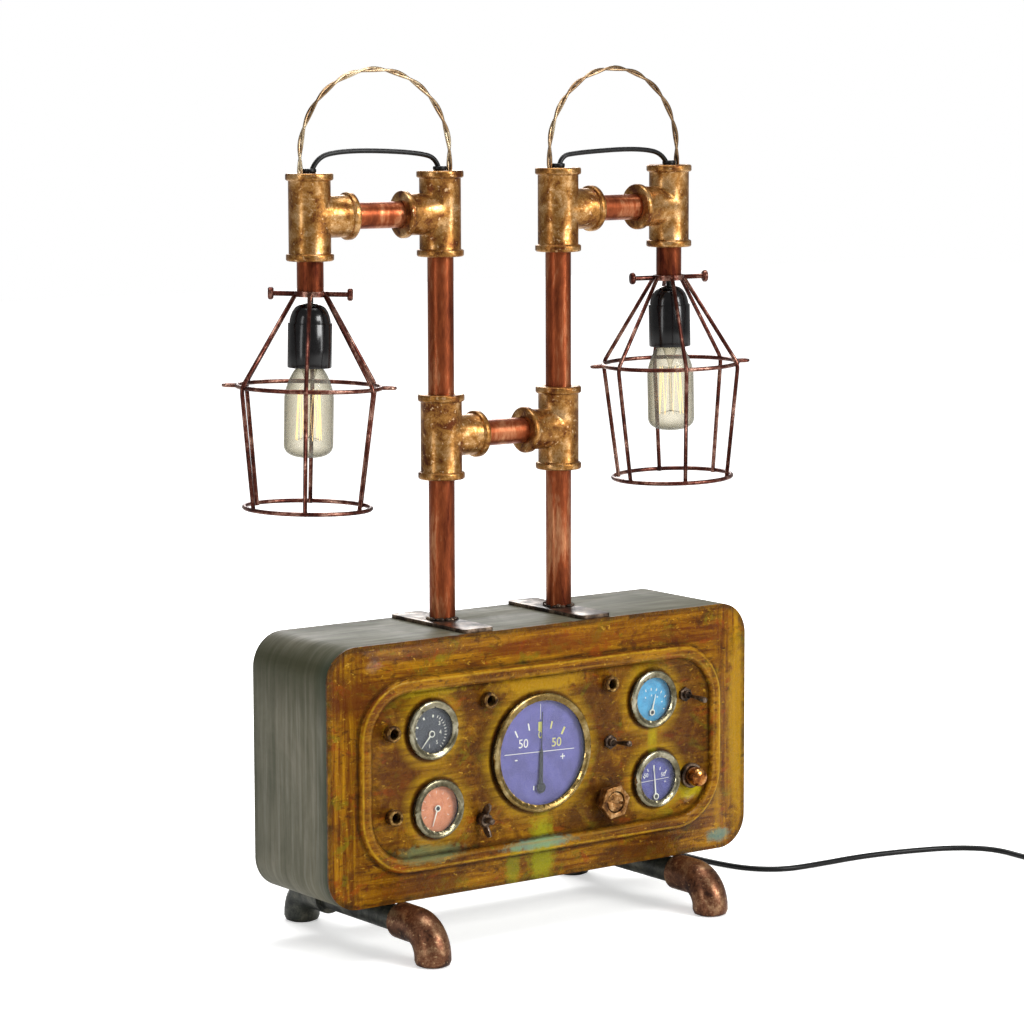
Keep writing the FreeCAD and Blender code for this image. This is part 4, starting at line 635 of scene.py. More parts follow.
    # Clear soda glass: flat lenses with no tint, bulbs darker at their edges, a painted shade
    # where the glass is seen edge on.
    lens = ClearGlass("flat_lens_glass", "#fbfdff", "#f4f6f8", 0.015, 0.12)
    bulb = ClearGlass("blown_bulb_glass", "#f6f4ee", "#8c8974", 0.04, 0.3)
    # The filament is given a painted glow: it emits amber light although the bulb is not lit.
    filament = PaintedGlow("painted_glow_filament", "#ffdc98", 1.9)


# Modelling helpers


def deselect() -> None:
    """Leaves edit mode and deselects everything."""
    if bpy.context.object and bpy.context.object.mode != "OBJECT":
        bpy.ops.object.mode_set(mode="OBJECT")
    bpy.ops.object.select_all(action="DESELECT")


def activate(piece: Piece) -> Piece:
    """Makes one piece the only selected and the active one."""
    deselect()
    piece.select_set(True)
    bpy.context.view_layer.objects.active = piece
    return piece


def settle(piece: Piece) -> Piece:
    """Applies a piece's place to its mesh, so that its object sits at the origin."""
    activate(piece)
    bpy.ops.object.transform_apply(location=True, rotation=True, scale=True)
    return piece


def moved(piece: Piece, spot: Matrix) -> Piece:
    """Puts a piece at a place and applies it."""
    piece.matrix_world = spot @ piece.matrix_world
    return settle(piece)


def paint(data: bpy.types.Mesh | bpy.types.Curve, finish: Finish) -> None:
    """Gives a mesh or curve one finish."""
    data.materials.clear()
    data.materials.append(finish.material())


def finished(
    piece: Piece, name: str, body: str, slot: str, finish: Finish, *nodes: str
) -> Piece:
    """Names a piece, gives it its finish and its body, and lets it stand for any CAD nodes."""
    piece.name = name
    piece.data.name = name
    paint(piece.data, finish)
    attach(piece, body)
    if nodes:
        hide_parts(*nodes)
    LOG.info("%s rides on %s", name, body)
    return piece


def joined(pieces: Sequence[Piece]) -> Piece:
    """Joins several mesh pieces into the first."""
    activate(pieces[0])
    for piece in pieces[1:]:
        piece.select_set(True)
    if len(pieces) > 1:
        bpy.ops.object.join()
    return bpy.context.view_layer.objects.active


def apply_modifier(piece: Piece, kind: str, **settings: object) -> None:
    """Adds one modifier to a piece and applies it."""
    activate(piece)
    modifier = piece.modifiers.new(kind.title(), kind)
    for name, value in settings.items():
        setattr(modifier, name, value)
    bpy.ops.object.modifier_apply(modifier=modifier.name)


def smooth(piece: Piece, degrees: float = 32.0) -> None:
    """Shades a piece smooth except over its sharp edges."""
    activate(piece)
    bpy.ops.object.shade_smooth_by_angle(angle=math.radians(degrees))


def wholly_smooth(piece: Piece) -> Piece:
    """Shades all of a piece smooth."""
    activate(piece)
    bpy.ops.object.shade_smooth()
    return piece


def linked(name: str, data: bpy.types.ID) -> Piece:
    """A new object in the scene."""
    piece = bpy.data.objects.new(name, data)
    bpy.context.scene.collection.objects.link(piece)
    return piece


def dressed_copy(
    body: str, node: str, name: str, slot: str, finish: Finish, ease_mm: float = 0.0,
    sharp: float = 32.0,
) -> Piece:
    """A merged and smoothly shaded copy of a CAD node that stands for it.

    Args:
        body: the body it rides on.
        node: the CAD node to copy.
        name: the new piece's name.
        slot: not used.
        finish: its finish.
        ease_mm: how much its sharp edges are rounded.
        sharp: the angle in degrees above which an edge stays sharp.

    Returns:
        The new piece.
    """
    piece = activate(linked(name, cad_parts[node].data.copy()))
    bpy.ops.object.mode_set(mode="EDIT")
    bpy.ops.mesh.select_all(action="SELECT")
    bpy.ops.mesh.remove_doubles(threshold=MERGED)
    bpy.ops.mesh.tris_convert_to_quads()
    bpy.ops.object.mode_set(mode="OBJECT")
    if ease_mm:
        apply_modifier(
            piece, "BEVEL", width=ease_mm * MM, segments=2, limit_method="ANGLE",
            angle_limit=math.radians(sharp), harden_normals=False,
        )
    smooth(piece, sharp)
    return finished(piece, name, body, slot, finish, node)


def dressed_copies(body: str, *rows: tuple) -> None:
    """Makes a dressed copy on one body for each row: what dressed_copy takes after the body."""
    for row in rows:
        dressed_copy(body, *row)


def line_curve(
    name: str, points: Iterable[Sequence[float]], radius: float, nurbs: bool = False
) -> Piece:
    """A round rod along points in metres.

    Args:
        name: the curve's name.
        points: the points that it follows, or its control points.
        radius: the rod's radius in metres.
        nurbs: draw a smooth cord that cuts inside the corners of its control points.

    Returns:
        A curve object with rounded depth.
    """
    spots = list(points)
    curve = bpy.data.curves.new(name, "CURVE")
    curve.dimensions = "3D"
    spline = curve.splines.new("NURBS" if nurbs else "POLY")
    spline.points.add(len(spots) - 1)
    for control, spot in zip(spline.points, spots):
        control.co = (spot[0], spot[1], spot[2], 1.0)
    if nurbs:
        spline.order_u = 3
        spline.use_endpoint_u = True
        spline.resolution_u = 12
    curve.bevel_depth = radius
    curve.bevel_resolution = 4
    curve.use_fill_caps = True
    return linked(name, curve)


def meshed(piece: Piece) -> Piece:
    """Turns a curve or text into a mesh and applies its place."""
    activate(piece)
    bpy.ops.object.convert(target="MESH")
    return settle(bpy.context.view_layer.objects.active)


def facing(x: float, y: float, z: float) -> Matrix:
    """The place of something drawn on its back that now faces the front, in millimetres."""
    return Matrix.Translation(Vector((x, y, z)) * MM) @ Matrix.Rotation(math.pi / 2, 4, "X")


# Sub-assemblies


@dataclass
class Arm:
    """One swinging arm with its fittings, hoop and lead. Millimetres."""

    side: Side
    tee_z: float = 663.4
    tee_half: float = 39.0
    length: float = 134.4
    hoop_radius: float = 76.8
    hoop_centre: float = 66.8
    hoop_leg: float = 14.7
    hoop_wire: float = 5.4
    hoop_pitch: float = 55.0
    hoop_steps: int = 260
    lead: float = 4.6
    lead_end: float = 8.0
    grommet_radius: float = 6.4
    grommet_height: float = 4.0
    grommet_round: float = 1.2

    @property
    def body(self) -> str:
        """The CAD body of this arm."""
        return f"{self.side.word}_arm"

    def spot(self) -> Matrix:
        """The arm's own frame: at its post's tee, +X out along the arm, in metres."""
        origin = Vector((self.side.sign * POST_SPACING / 2, POST_Y, self.tee_z))
        turn = Matrix.Rotation(math.radians(self.side.angle), 4, "Z")
        return Matrix.Translation(origin * MM) @ turn

    def world(self, x: float, y: float, z: float) -> Vector:
        """A point of the arm's frame, given in millimetres, in the lamp's frame in metres."""
        return self.spot() @ (Vector((x, y, z)) * MM)

    def build(self) -> None:
        """Builds everything that rides on this arm."""
        word = self.side.word
        dressed_copies(
            self.body,
            (f"{word}_arm_tees", f"{word}_tee_fittings", "golden_brass", Look.cast_brass, 0.4),
            (f"{word}_arm_pipes", f"{word}_short_pipes", "dark_copper_pipe", Look.copper_pipe),
            (f"{word}_lamp_stem", f"{word}_hanger_stem", "steel_stem", Look.zinc),
        )
        self._hoop()
        self._lead()

    def _hoop_length(self) -> float:
        """The length of the hoop's centre line."""
        return 2 * self.hoop_leg + math.pi * self.hoop_radius

    def _arch(self, run: float) -> tuple[Vector, Vector]:
        """The hoop's centre line after a run along it, and the way outwards from it there."""
        base, leg, radius = self.tee_half, self.hoop_leg, self.hoop_radius
        total = self._hoop_length()
        if run <= leg:
            return Vector((self.hoop_centre - radius, 0, base + run)), Vector((-1, 0, 0))
        if run >= total - leg:
            right = self.hoop_centre + radius
            return Vector((right, 0, base + total - run)), Vector((1, 0, 0))
        angle = math.pi - (run - leg) / radius
        out = Vector((math.cos(angle), 0, math.sin(angle)))
        return Vector((self.hoop_centre, 0, base + leg)) + out * radius, out

    def _hoop(self) -> None:
        """Two rods twisted about each other along the arch."""
        strand = self.hoop_wire / 4
        total = self._hoop_length()
        strands = []
        for phase in (0.0, math.pi):
            points = []
            for step in range(self.hoop_steps + 1):
                run = step / self.hoop_steps * total
                middle, out = self._arch(run)
                turn = phase + TURN * total * step / self.hoop_steps / self.hoop_pitch
                aside = out * math.cos(turn) + Vector((0, 1, 0)) * math.sin(turn)
                points.append((middle + aside * strand) * MM)
            strands.append(meshed(line_curve("strand", points, strand * 0.98 * MM)))
        piece = wholly_smooth(moved(joined(strands), self.spot()))
        word = self.side.word
        finished(piece, f"{word}_twisted_hoop", self.body, "twisted_brass", Look.hoop_brass,
                 f"{word}_hoop")

    def _lead(self) -> None:
        """The black lead over the arm, with a grommet at each end."""
        word, top = self.side.word, self.tee_half
        rise = top + self.side.lead_rise
        points = [self.world(x, 0, z) for x, z in (
            (0, top - self.lead_end), (0.4, top + 10), (24, rise - 3), (98, rise),
            (self.length - 3, rise - 7), (self.length, top - self.lead_end),
        )]
        lead = line_curve(f"{word}_jumper_cable", points, self.lead / 2 * MM, nurbs=True)
        finished(lead, f"{word}_jumper_cable", self.body, "black_rubber", Look.cable)
        grommets = []
        for x in (0.0, self.length):
            deselect()
            bpy.ops.mesh.primitive_cylinder_add(
                vertices=40, radius=self.grommet_radius * MM, depth=self.grommet_height * MM
            )
            ring = bpy.context.object
            width = self.grommet_round * MM
            apply_modifier(ring, "BEVEL", width=width, segments=3, limit_method="ANGLE")
            middle = self.world(x, 0, top + self.grommet_height / 2)
            grommets.append(moved(ring, Matrix.Translation(middle)))
        piece = joined(grommets)
        smooth(piece)
        finished(piece, f"{word}_grommets", self.body, "black_rubber", Look.cable)
        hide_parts(f"{word}_jumper_lead")


def spun(name: str, outline: Sequence[tuple[float, float]], steps: int) -> Piece:
    """Turns (radius, height) points in millimetres, from top to bottom, about the Z axis."""
    mesh = bpy.data.meshes.new(name)
    points = [(r * MM, 0.0, z * MM) for r, z in outline]
    mesh.from_pydata(points, [(i, i + 1) for i in range(len(points) - 1)], [])
    piece = activate(linked(name, mesh))
    bpy.ops.object.mode_set(mode="EDIT")
    bpy.ops.mesh.select_all(action="SELECT")
    bpy.ops.mesh.spin(steps=steps, angle=TURN, center=(0, 0, 0), axis=(0, 0, 1))
    bpy.ops.mesh.select_all(action="SELECT")
    bpy.ops.mesh.remove_doubles(threshold=MERGED_TURNED)
    bpy.ops.mesh.normals_make_consistent(inside=False)
    bpy.ops.object.mode_set(mode="OBJECT")
    return piece


@dataclass
class Lantern:
    """One bulb with its holder, cage and clamp screws. Millimetres."""

    side: Side
    arm: Arm
    drop_end_z: float = 593.5
    lean: float = 1.5
    holder_top: float = -9.5
    holder_low: float = -64.5
    cap_outer: float = 26.0
    cap_height: float = 24.0
    thread_pitch: float = 3.6
    crest_steps: int = 6
    filament_top: float = -84.5
    filament_low: float = -129.5
    filament_legs: int = 9
    filament_start: float = 0.35

    def spot(self) -> Matrix:
        """The lantern's own frame, hanging from the drop pipe's end, in metres."""
        hang = Vector((self.arm.length, 0, self.drop_end_z - self.arm.tee_z)) * MM
        lean = Matrix.Rotation(math.radians(-self.lean), 4, "Y")
        return self.arm.spot() @ Matrix.Translation(hang) @ lean

    @property
    def body(self) -> str:
        """The CAD body of this bulb."""
        return f"{self.side.word}_bulb"

    def build(self) -> None:
        """Builds the holder, the cage, the screws, the glass and what stands in it."""
        word = self.side.word
        dressed_copy(f"{word}_cage", f"{word}_cage", f"{word}_wire_cage", "copper_wire",
                     Look.cage_wire, 0, 40)
        for label in ("near", "far"):
            dressed_copy(f"{word}_{label}_clamp", f"{word}_cage_{label}_screw",
                         f"{word}_{label}_thumb_screw", "steel_stem", Look.cage_wire, 0.3)
        dressed_copy(self.body, f"{word}_bulb_glass", f"{word}_glass_envelope", "clear_lens",
                     Look.bulb, 0, 60)
        self._holder()
        self._cap()
        self._press()
        self._filament()

    def _turned(
        self, name: str, outline: Sequence[tuple[float, float]], steps: int, sharp: float,
        body: str, slot: str, finish: Finish, *nodes: str,
    ) -> None:
        """A turned piece on the lantern's axis, and the CAD nodes of this side it stands for."""
        word = self.side.word
        piece = moved(spun(name, outline, steps), self.spot())
        smooth(piece, sharp)
        finished(piece, f"{word}_{name}", body, slot, finish, *(f"{word}_{n}" for n in nodes))

    def _holder(self) -> None:
        """Domed cap and straight skirt of the lamp holder, with the parting line between them."""
        top, low = self.holder_top, self.holder_low
        self._turned("phenolic_holder", [
            (2.7, top + 2.9), (6.6, top + 2.5), (10.6, top + 1.0), (13.7, top - 1.5),
            (16.0, top - 4.9), (17.5, top - 8.9), (18.3, top - 12.5), (18.5, top - 14.6),
            (19.2, top - 14.7), (19.8, top - 15.5), (19.8, low + 0.9), (19.5, low + 0.2),
            (18.9, low), (16.9, low), (16.8, low + 6.0), (13.2, low + 9.0),
        ], 72, 40, self.arm.body, "black_holder", Look.phenolic, "lamp_holder")

    def _cap(self) -> None:
        """Screw cap with a rolled round thread."""
        low = self.holder_low + 3
        top, shoulder = low + self.cap_height, low + self.cap_height - 5
        rim = self.cap_outer / 2
        crests = int((self.cap_height - 6) / self.thread_pitch)
        outline = [(0.0, top), (5.5, top), (rim - 1, shoulder)]
        for index in range(crests * self.crest_steps):
            swell = 0.5 * math.cos(TURN * index / self.crest_steps)
            drop = index * self.thread_pitch / self.crest_steps
            outline.append((rim - 0.6 + swell, shoulder - drop))
        outline += [(rim - 0.2, low), (rim - 1.2, low)]
        self._turned("screw_cap", outline, 48, 60, self.body, "bulb_cap_brass",
                     Look.cap_brass, "bulb_cap")

    def _press(self) -> None:
        """The glass press that carries the filament, with its long stalk."""
        low, bottom = self.holder_low, self.filament_low
        self._turned("glass_press", [
            (8.0, low + 6), (6.5, low - 4), (3.6, low - 13), (2.4, low - 16), (1.5, low - 20),
            (1.3, bottom + 4), (1.9, bottom + 2.5), (0.0, bottom + 1.5),
        ], 24, 60, self.body, "clear_lens", Look.bulb)

    def _tip(self, index: float, level: float, reach: float) -> Point:
        """The end of one support wire."""
        way = TURN * index / self.filament_legs + self.filament_start
        return (reach * math.cos(way), reach * math.sin(way), level)

    def _filament(self) -> None:
        """Two rings of support wires and the long filament that zigzags between them."""
        legs = self.filament_legs
        rings = ((self.filament_top, 9.6, -1), (self.filament_low, 11.6, 3))
        stays = [
            [(0.0, 0.0, level + lift), self._tip(index, level, reach)]
            for level, reach, lift in rings for index in range(legs)
        ]
        thread = [self._tip(index / 2, *rings[index % 2][:2]) for index in range(legs * 2)]
        self._wires("support_wires", stays, 0.16, Look.zinc, "steel_stem")
        self._wires("filament", [thread], 0.36, Look.filament, "bulb_cap_brass")

    def _wires(
        self, name: str, runs: Sequence[Sequence[Point]], radius: float, finish: Finish,
        slot: str,
    ) -> None:
        """Thin rods inside the bulb, along runs of points in the lantern's frame."""
        rods = []
        for run in runs:
            rod = line_curve("wire", [Vector(point) * MM for point in run], radius * MM)
            rod.data.bevel_resolution = 2
            rods.append(meshed(rod))
        piece = wholly_smooth(moved(joined(rods), self.spot()))
        finished(piece, f"{self.side.word}_{name}", self.body, slot, finish)


@dataclass(frozen=True)
class Mark:
    """A stroke on a dial: angle clockwise from the top, inner and outer radius, width.

    The radii are taken from the needle's pivot, or from `lift` above it.
    """

    angle: float
    inner: float
    outer: float
    width: float
    yellow: bool = False
    lift: float = 0.0


@dataclass(frozen=True)
class Word:
    """Generic characters on a dial, at (x, z) from its centre."""

    text: str
    x: float
    z: float
    height: float
    yellow: bool = False


@dataclass
class Dial:
    """The face of one instrument and what is printed on it. Millimetres."""

    name: str
    x: float
    z: float
    pivot: float
    marks: tuple[Mark, ...]
    words: tuple[Word, ...]
    boss: float
    turn: float = 0.0
    face_y: float = -60.62
    boss_y: float = -63.1
    boss_depth: float = 0.24
    ink_depth: float = 0.06
    letter_size: float = 1.35

    def build(self) -> None:
        """Prints the marks and characters on the dial and caps its needle's hub."""
        for yellow, ink, tint in ((False, Look.pale, "pale"), (True, Look.yellow, "yellow")):
            pieces = [self._stroke(mark) for mark in self.marks if mark.yellow == yellow]
            pieces += [self._word(word) for word in self.words if word.yellow == yellow]
            if not pieces:
                continue
            about = Matrix.Rotation(-math.radians(self.turn), 4, "Z")
            piece = moved(joined(pieces), facing(self.x, self.face_y, self.z) @ about)
            finished(piece, f"{self.name}_{tint}_print", LAMP, "needle_pale", ink)
        deselect()
        bpy.ops.mesh.primitive_cylinder_add(
            vertices=32, radius=self.boss * MM, depth=self.boss_depth * MM
        )
        piece = moved(bpy.context.object, facing(self.x, self.boss_y, self.z + self.pivot))
        finished(piece, f"{self.name}_hub_cap", f"{self.name}_pointer", "needle_black",
                 Look.needle)

    def _stroke(self, mark: Mark) -> Piece:
        """One printed line, lying on the dial's own plane."""
        deselect()
        bpy.ops.mesh.primitive_plane_add(size=MM)
        piece = bpy.context.object
        turn = Matrix.Rotation(-math.radians(mark.angle), 4, "Z")
        out = Matrix.Translation((0, (mark.inner + mark.outer) / 2 * MM, 0))
        size = Matrix.Diagonal((mark.width, mark.outer - mark.inner, 1.0, 1.0))
        middle = Matrix.Translation((0, (self.pivot + mark.lift) * MM, 0))
        piece.matrix_world = middle @ turn @ out @ size
        settle(piece)
        apply_modifier(piece, "SOLIDIFY", thickness=self.ink_depth * MM, offset=0.0)
        return piece

    def _word(self, word: Word) -> Piece:
        """One string of generic characters."""
        deselect()
        bpy.ops.object.text_add(location=(word.x * MM, word.z * MM, 0))
        piece = bpy.context.object
        piece.data.body = word.text
        piece.data.size = word.height * self.letter_size * MM
        piece.data.align_x = "CENTER"
        piece.data.align_y = "CENTER"
        piece.data.extrude = self.ink_depth / 2 * MM
        return meshed(piece)


@dataclass
class Case:
    """The painted case with its straps, posts, mid tees and feet. Millimetres."""

    strap_top: float = 290.1
    pipe_outer: float = 24.0
    beads_round: int = 17

    def build(self) -> None:
        """Dresses the case and everything welded to it."""
        dressed_copies(
            LAMP,
            ("case_shell", "case_wrap", "grey_green_paint", Look.case_paint, 0.5),
            ("front_panel", "painted_front", "rust_paint", Look.panel_paint, 0, 40),
            ("back_cover", "painted_back", "grey_green_paint", Look.case_paint),
            ("back_cover_screws", "cover_screws", "bare_steel", Look.zinc, 0.2),
            ("top_straps", "welded_straps", "bare_steel", Look.torched_steel, 0.6),
            ("frame_pipes", "copper_posts", "dark_copper_pipe", Look.copper_pipe),
            ("foot_pipes", "painted_runners", "dark_copper_pipe", Look.painted_foot),
            ("mid_tees", "mid_tee_fittings", "golden_brass", Look.cast_brass, 0.4),
        )
        elbows = dressed_copy(LAMP, "foot_elbows", "bronze_elbows", "golden_brass",
                              Look.bronze_foot)
        elbows.data.materials.append(Look.painted_foot.material())
        for face in elbows.data.polygons:
            face.material_index = int(face.center.y > 0)
        paint(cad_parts["terminal_block"].data, Look.can)
        self._weld_beads()

    def _weld_beads(self) -> None:
        """A lumpy bead of weld round the foot of each post."""
        dice = random.Random(7)
        beads = []
        for sign in (-1, 1):
            for index in range(self.beads_round):
                way = TURN * index / self.beads_round + dice.uniform(-0.06, 0.06)
                reach = self.pipe_outer / 2 + dice.uniform(0.4, 1.3)
                deselect()
                bpy.ops.mesh.primitive_uv_sphere_add(
                    segments=12, ring_count=8, radius=dice.uniform(2.0, 3.1) * MM,
                    location=(
                        (sign * POST_SPACING / 2 + reach * math.cos(way)) * MM,
                        (POST_Y + reach * math.sin(way)) * MM,
                        (self.strap_top + dice.uniform(0.2, 1.0)) * MM,
                    ),
                )
                bpy.context.object.scale.z = dice.uniform(0.6, 0.9)
                beads.append(settle(bpy.context.object))
        piece = wholly_smooth(joined(beads))
        finished(piece, "post_weld_beads", LAMP, "bare_steel", Look.torched_steel)


@dataclass
class Panel:
    """Instruments, switches and fittings of the front panel."""

    def build(self) -> None:
        """Dresses the panel's nodes and prints the dials."""
        for size, many, lens, bezel in (
            ("large", "", "lens", Look.bezel), ("small", "s", "lenses", Look.small_bezel)
        ):
            dressed_copies(
                LAMP,
                (f"{size}_gauge_bezel{many}", f"{size}_rim{many}", "bezel_brass", bezel, 0, 50),
                (f"{size}_gauge_housing{many}", f"{size}_can{many}", "black_housing", Look.can),
                (f"{size}_gauge_{lens}", f"{size}_glass", "clear_lens", Look.lens),
            )
        for name, enamel, needle in (
            ("large", Look.violet, Look.needle), ("violet", Look.small_violet, Look.pale),
            ("black", Look.black, Look.pale), ("salmon", Look.salmon, Look.pale),
            ("blue", Look.blue, Look.pale),
        ):
            paint(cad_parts[f"{name}_dial"].data, enamel)
            paint(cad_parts[f"{name}_needle"].data, needle)
        steel, brass = Look.torched_steel, Look.selector_brass
        for row in (
            (LAMP, "panel_bushes", "hollow_bushes", "golden_brass", Look.dull_bush, 0.3),
            (LAMP, "switch_bodies", "switch_necks", "bare_steel", steel, 0.2),
            (LAMP, "selector_nut", "brass_hexagon", "golden_brass", brass, 0.6),
            ("selector", "selector_core", "slotted_core", "golden_brass", brass, 0.4),
            ("button", "push_button", "domed_button", "button_dark", Look.button_copper, 0, 50),
            ("wing_nut_body", "wing_nut", "wing_fastener", "bare_steel", steel, 0.5),
            ("upper_toggle", "upper_toggle_lever", "upper_bat_lever", "bare_steel", steel, 0, 50),
            ("lower_toggle", "lower_toggle_lever", "lower_bat_lever", "bare_steel", steel, 0, 50),
        ):
            dressed_copy(*row)
        for dial in self._dials():
            dial.build()

    def _dials(self) -> list[Dial]:
        """The five dials with their generic scales."""
        big = (
            Mark(-27.5, 55.0, 62.0, 1.5), Mark(-12.7, 55.5, 62.5, 1.5),
            Mark(0.0, 53.0, 61.5, 4.2, True), Mark(12.7, 55.5, 62.5, 1.5, True),
            Mark(27.5, 54.0, 61.5, 1.9, True), Mark(0.0, 64.0, 78.0, 0.5),
            Mark(90.0, -40.0, 40.0, 0.6, lift=33.5), Mark(90.0, 5.2, 6.4, 4.0),
            Mark(-90.0, 5.2, 6.4, 4.0),
        )
        tiny = (
            Mark(-34.0, 22.0, 25.0, 0.8), Mark(-18.0, 25.5, 28.5, 0.8),
            Mark(-2.0, 24.5, 29.8, 1.5), Mark(14.0, 25.0, 28.0, 0.8),
            Mark(31.0, 24.0, 27.5, 1.1), Mark(88.0, -17.0, 17.0, 0.4, lift=15.5),
        )
        hours = tuple(Mark(-101.0 + 37.0 * k, 15.0, 17.4, 1.6) for k in range(4))
        minutes = tuple(Mark(28.0 + 10.0 * k, 15.6, 17.8, 0.6) for k in range(12))
        salmon = tuple(Mark(-120.0 + 30.0 * k, 13.5, 16.0, 0.4) for k in range(9))
        blue = tuple(Mark(-16.0 + 17.0 * k, 20.5, 23.0, 0.9) for k in range(5))
        drops = tuple(Mark(-24.0 + 27.0 * k, 15.0, 16.6, 0.9) for k in range(5))
        return [
            Dial("large", -6.0, 168.5, -33.5, big, (
                Word("0", 0.4, 15.7, 7.4, True), Word("50", -18.9, 8.7, 8.6),
                Word("50", 19.3, 7.2, 8.6, True), Word("-", -26.6, -5.0, 9.0),
                Word("+", 26.9, -7.0, 8.0)), 5.0, 1.8),
            Dial("black", -128.5, 203.5, -4.0, hours + minutes, (
                Word("4", 10.8, -3.6, 3.8), Word("3", 9.8, 4.6, 3.8),
                Word("5", 7.0, -12.5, 3.6), Word("1", -1.2, -15.4, 3.6)), 2.2),
            Dial("salmon", -122.5, 130.5, 0.0, salmon, (), 2.0),
            Dial("blue", 125.0, 204.0, -13.0, blue + drops, (), 2.0),
            Dial("violet", 130.0, 127.0, -17.3, tiny, (
                Word("50", -10.5, 3.6, 4.0), Word("50", 10.0, 2.2, 4.0),
                Word("+", 12.5, -4.9, 3.5)), 2.0),
        ]


@dataclass
class MainsLead:
    """The black mains lead from the gland across the table to its coil and plug. Metres."""

    outer: float = 0.0054
    coil_x: float = 0.602
    coil_y: float = -0.172
    coil_middle: float = 0.060
    coil_turns: float = 6.0
    coil_gap: float = 0.0006
    coil_start: float = 185.0
    coil_steps: int = 16
    way_in: tuple[float, float] = (0.050, 0.006)
    tail: float = 0.028
    route: tuple[Point, ...] = (
        (0.170, 0.094, 0.074), (0.172, 0.112, 0.071), (0.180, 0.132, 0.058),
        (0.194, 0.148, 0.036), (0.212, 0.158, 0.012), (0.236, 0.161, 0.0027),
        (0.262, 0.152, 0.0027), (0.282, 0.128, 0.0027), (0.290, 0.092, 0.0027),
        (0.293, 0.048, 0.0027), (0.303, 0.008, 0.0027), (0.329, -0.017, 0.0027),
        (0.372, -0.0195, 0.0027), (0.432, -0.019, 0.0027), (0.488, -0.030, 0.0027),
        (0.535, -0.047, 0.0027), (0.562, -0.077, 0.0027),
    )

    def build(self) -> None:
        """Lays the lead and dresses its gland and plug."""
        cable = Look.cable
        points = [Vector(point) for point in self.route] + self._coil()
        lead = line_curve("mains_lead", points, self.outer / 2, nurbs=True)
        finished(lead, "mains_lead", LAMP, "black_rubber", cable)
        plug = dressed_copy(LAMP, "mains_plug", "moulded_plug", "black_rubber", cable, 0.4)
        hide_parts("mains_cord", "mains_coil")
        dressed_copy(LAMP, "cord_gland", "strain_relief", "black_rubber", cable, 0.4)

    def _coil(self) -> list[Vector]:
        """The coil's own points: a spiral in, a step up, and a spiral out to the plug."""
        pitch = self.outer + self.coil_gap
        per_turn = self.coil_steps
        count = int(self.coil_turns * per_turn)
        half = count / 2
        outer = self.coil_middle / 2 + pitch * self.coil_turns / 4
        centre = Vector((self.coil_x, self.coil_y, self.outer / 2))
        begin = math.radians(self.coil_start)
        way = Vector((math.sin(begin), -math.cos(begin), 0))
        start = centre + Vector((math.cos(begin), math.sin(begin), 0)) * outer
        points = [start + way * run for run in self.way_in]
        for step in range(count + 1):
            angle = begin + TURN * step / per_turn
            drawn = half - abs(step - half)
            reach = outer - pitch / per_turn * drawn
            climb = min(max((step - half) / per_turn * 2 + 0.5, 0), 1)
            rise = pitch * climb * climb * (3 - 2 * climb)
            swell = 1 / math.cos(math.pi / per_turn) ** 0.5
            points.append(centre + Vector((math.cos(angle) * reach * swell,
                                           math.sin(angle) * reach * swell, rise)))
        last = points[-1]
        leave = Vector((-math.sin(angle), math.cos(angle), 0))
        return points + [last + leave * self.tail * 0.4, last + leave * self.tail]


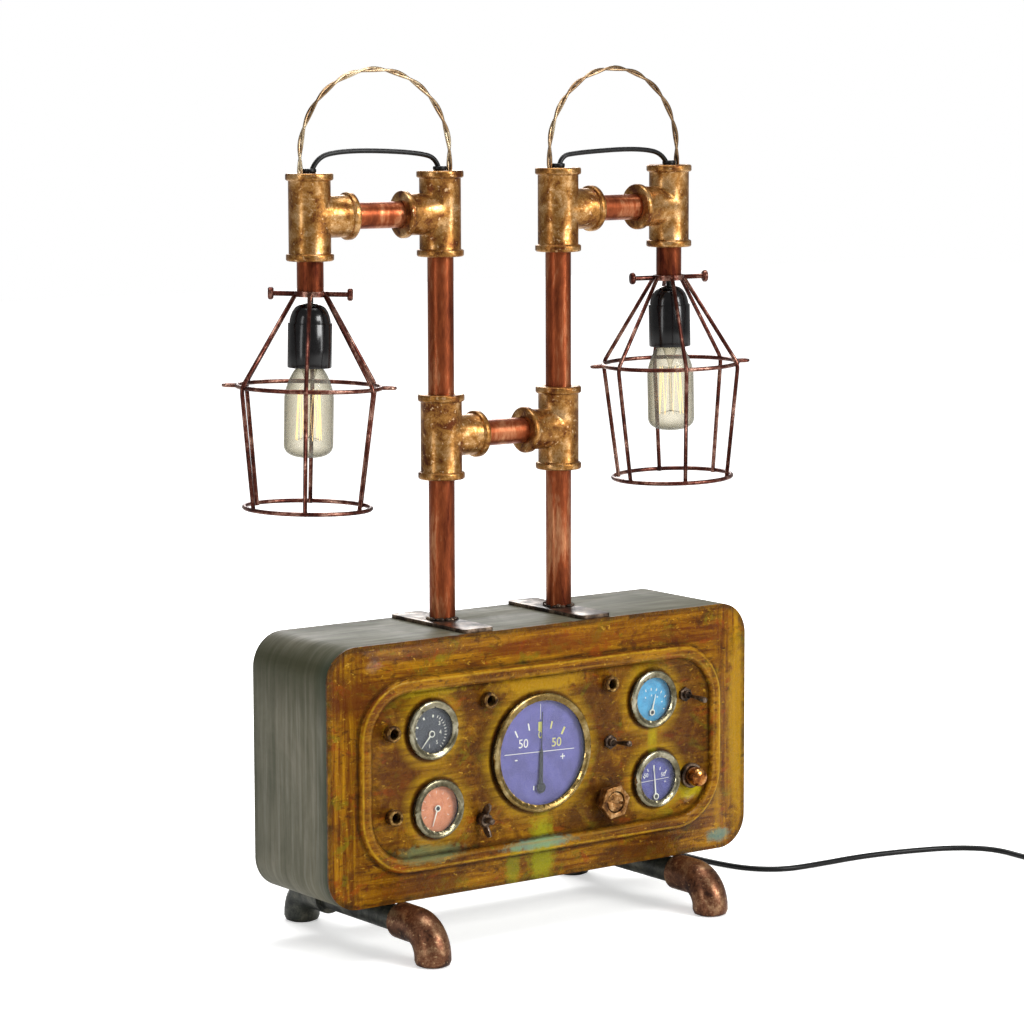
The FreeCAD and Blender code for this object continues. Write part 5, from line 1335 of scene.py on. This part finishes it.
@dataclass
class Studio:
    """Pale floor, soft lamps and the camera at the photograph's place. Metres."""

    camera_place: Point = (-1.92424, -2.63131, 0.79994)
    azimuth: float = -36.287
    elevation: float = 7.256
    roll: float = -0.003
    focal_mm: float = 124.27
    sensor_mm: float = 36.0
    floor_size: float = 16.0
    lit_height: float = 0.38

    def build(self) -> None:
        """Sets up the whole studio."""
        self._floor()
        self._world()
        self._lamps()
        self._camera()
        bpy.context.scene.view_settings.view_transform = "Standard"

    def _floor(self) -> None:
        """A wide matte floor that looks white to the camera and keeps its shadows."""
        deselect()
        bpy.ops.mesh.primitive_plane_add(size=self.floor_size)
        floor = bpy.context.object
        floor.name = "studio_floor"
        coat = Coat("white_paper_floor")
        coat.shaded(Base_Color="#f4f4f3", Roughness=0.9)
        plain = coat.shader.outputs[0]
        seen = coat.add("LightPath").outputs["Is Camera Ray"]
        fade = coat.span(coat.vector("LENGTH", coat.place()), 0.35, 1.5, 0.5, 1.0)
        lift = coat.add("Emission", {"Color": "#ffffff", "Strength": fade}).outputs[0]
        added = coat.add("AddShader", {0: plain, 1: lift}).outputs[0]
        mixed = coat.add("MixShader", {0: seen, 1: plain, 2: added})
        floor.data.materials.append(coat.surfaced(mixed))

    def _world(self) -> None:
        """White to the camera and through the glass, softer as light on the lamp."""
        world = bpy.data.worlds.new("studio_world")
        bpy.context.scene.world = world
        world.use_nodes = True
        graph = Graph(world.node_tree)
        rays = graph.add("LightPath").outputs
        seen = graph.math("MAXIMUM", rays["Is Camera Ray"], rays["Is Transmission Ray"])
        soft, white = (
            graph.add("Background", {"Color": "#ffffff", "Strength": strength}).outputs[0]
            for strength in (0.3, 1.0)
        )
        mixed = graph.add("MixShader", {0: seen, 1: soft, 2: white})
        graph.add("OutputWorld", {"Surface": mixed.outputs[0]})

    def _lamps(self) -> None:
        """A key from the front, tall strips for the pipes' highlights and a soft top light."""
        for name, spot, energy, width, height in (
            ("key_box", (0.9, -3.0, 1.9), 70.0, 1.3, 1.0),
            ("left_strip", (-2.9, -0.5, 1.1), 16.0, 0.45, 2.2),
            ("right_strip", (1.6, -2.9, 1.3), 28.0, 0.45, 2.2),
            ("top_box", (0.1, 0.2, 3.0), 52.0, 2.0, 1.6),
            ("rim_box", (1.4, 2.4, 1.6), 24.0, 1.0, 1.4),
        ):
            light = bpy.data.lights.new(name, "AREA")
            light.energy = energy
            light.shape = "RECTANGLE"
            light.size = width
            light.size_y = height
            lamp = linked(name, light)
            lamp.location = spot
            aim = Vector((0, 0, self.lit_height)) - Vector(spot)
            lamp.rotation_euler = aim.to_track_quat("-Z", "Y").to_euler()

    def _camera(self) -> None:
        """The photograph's own camera, fitted to the lamp's corners."""
        az, el = math.radians(self.azimuth), math.radians(self.elevation)
        back = Vector((math.sin(az) * math.cos(el), -math.cos(az) * math.cos(el), math.sin(el)))
        right = Vector((0, 0, 1)).cross(back).normalized()
        up = back.cross(right)
        turn = Matrix((right, up, back)).transposed() @ Matrix.Rotation(self.roll, 3, "Z")
        data = bpy.data.cameras.new("photo_camera")
        data.sensor_width = self.sensor_mm
        data.lens = self.focal_mm
        data.clip_end = 50.0
        camera = linked("photo_camera", data)
        camera.matrix_world = Matrix.Translation(self.camera_place) @ turn.to_4x4()
        bpy.context.scene.camera = camera


def main() -> None:
    """Builds the lamp's looks and the studio."""
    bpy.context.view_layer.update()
    MainsLead().build()
    for side in Side:
        arm = Arm(side)
        arm.build()
        Lantern(side, arm).build()
    Case().build()
    Panel().build()
    Studio().build()
    bpy.context.view_layer.update()


if __name__ == "__main__":
    logging.basicConfig(level=logging.INFO, format="%(name)s: %(message)s")
    main()
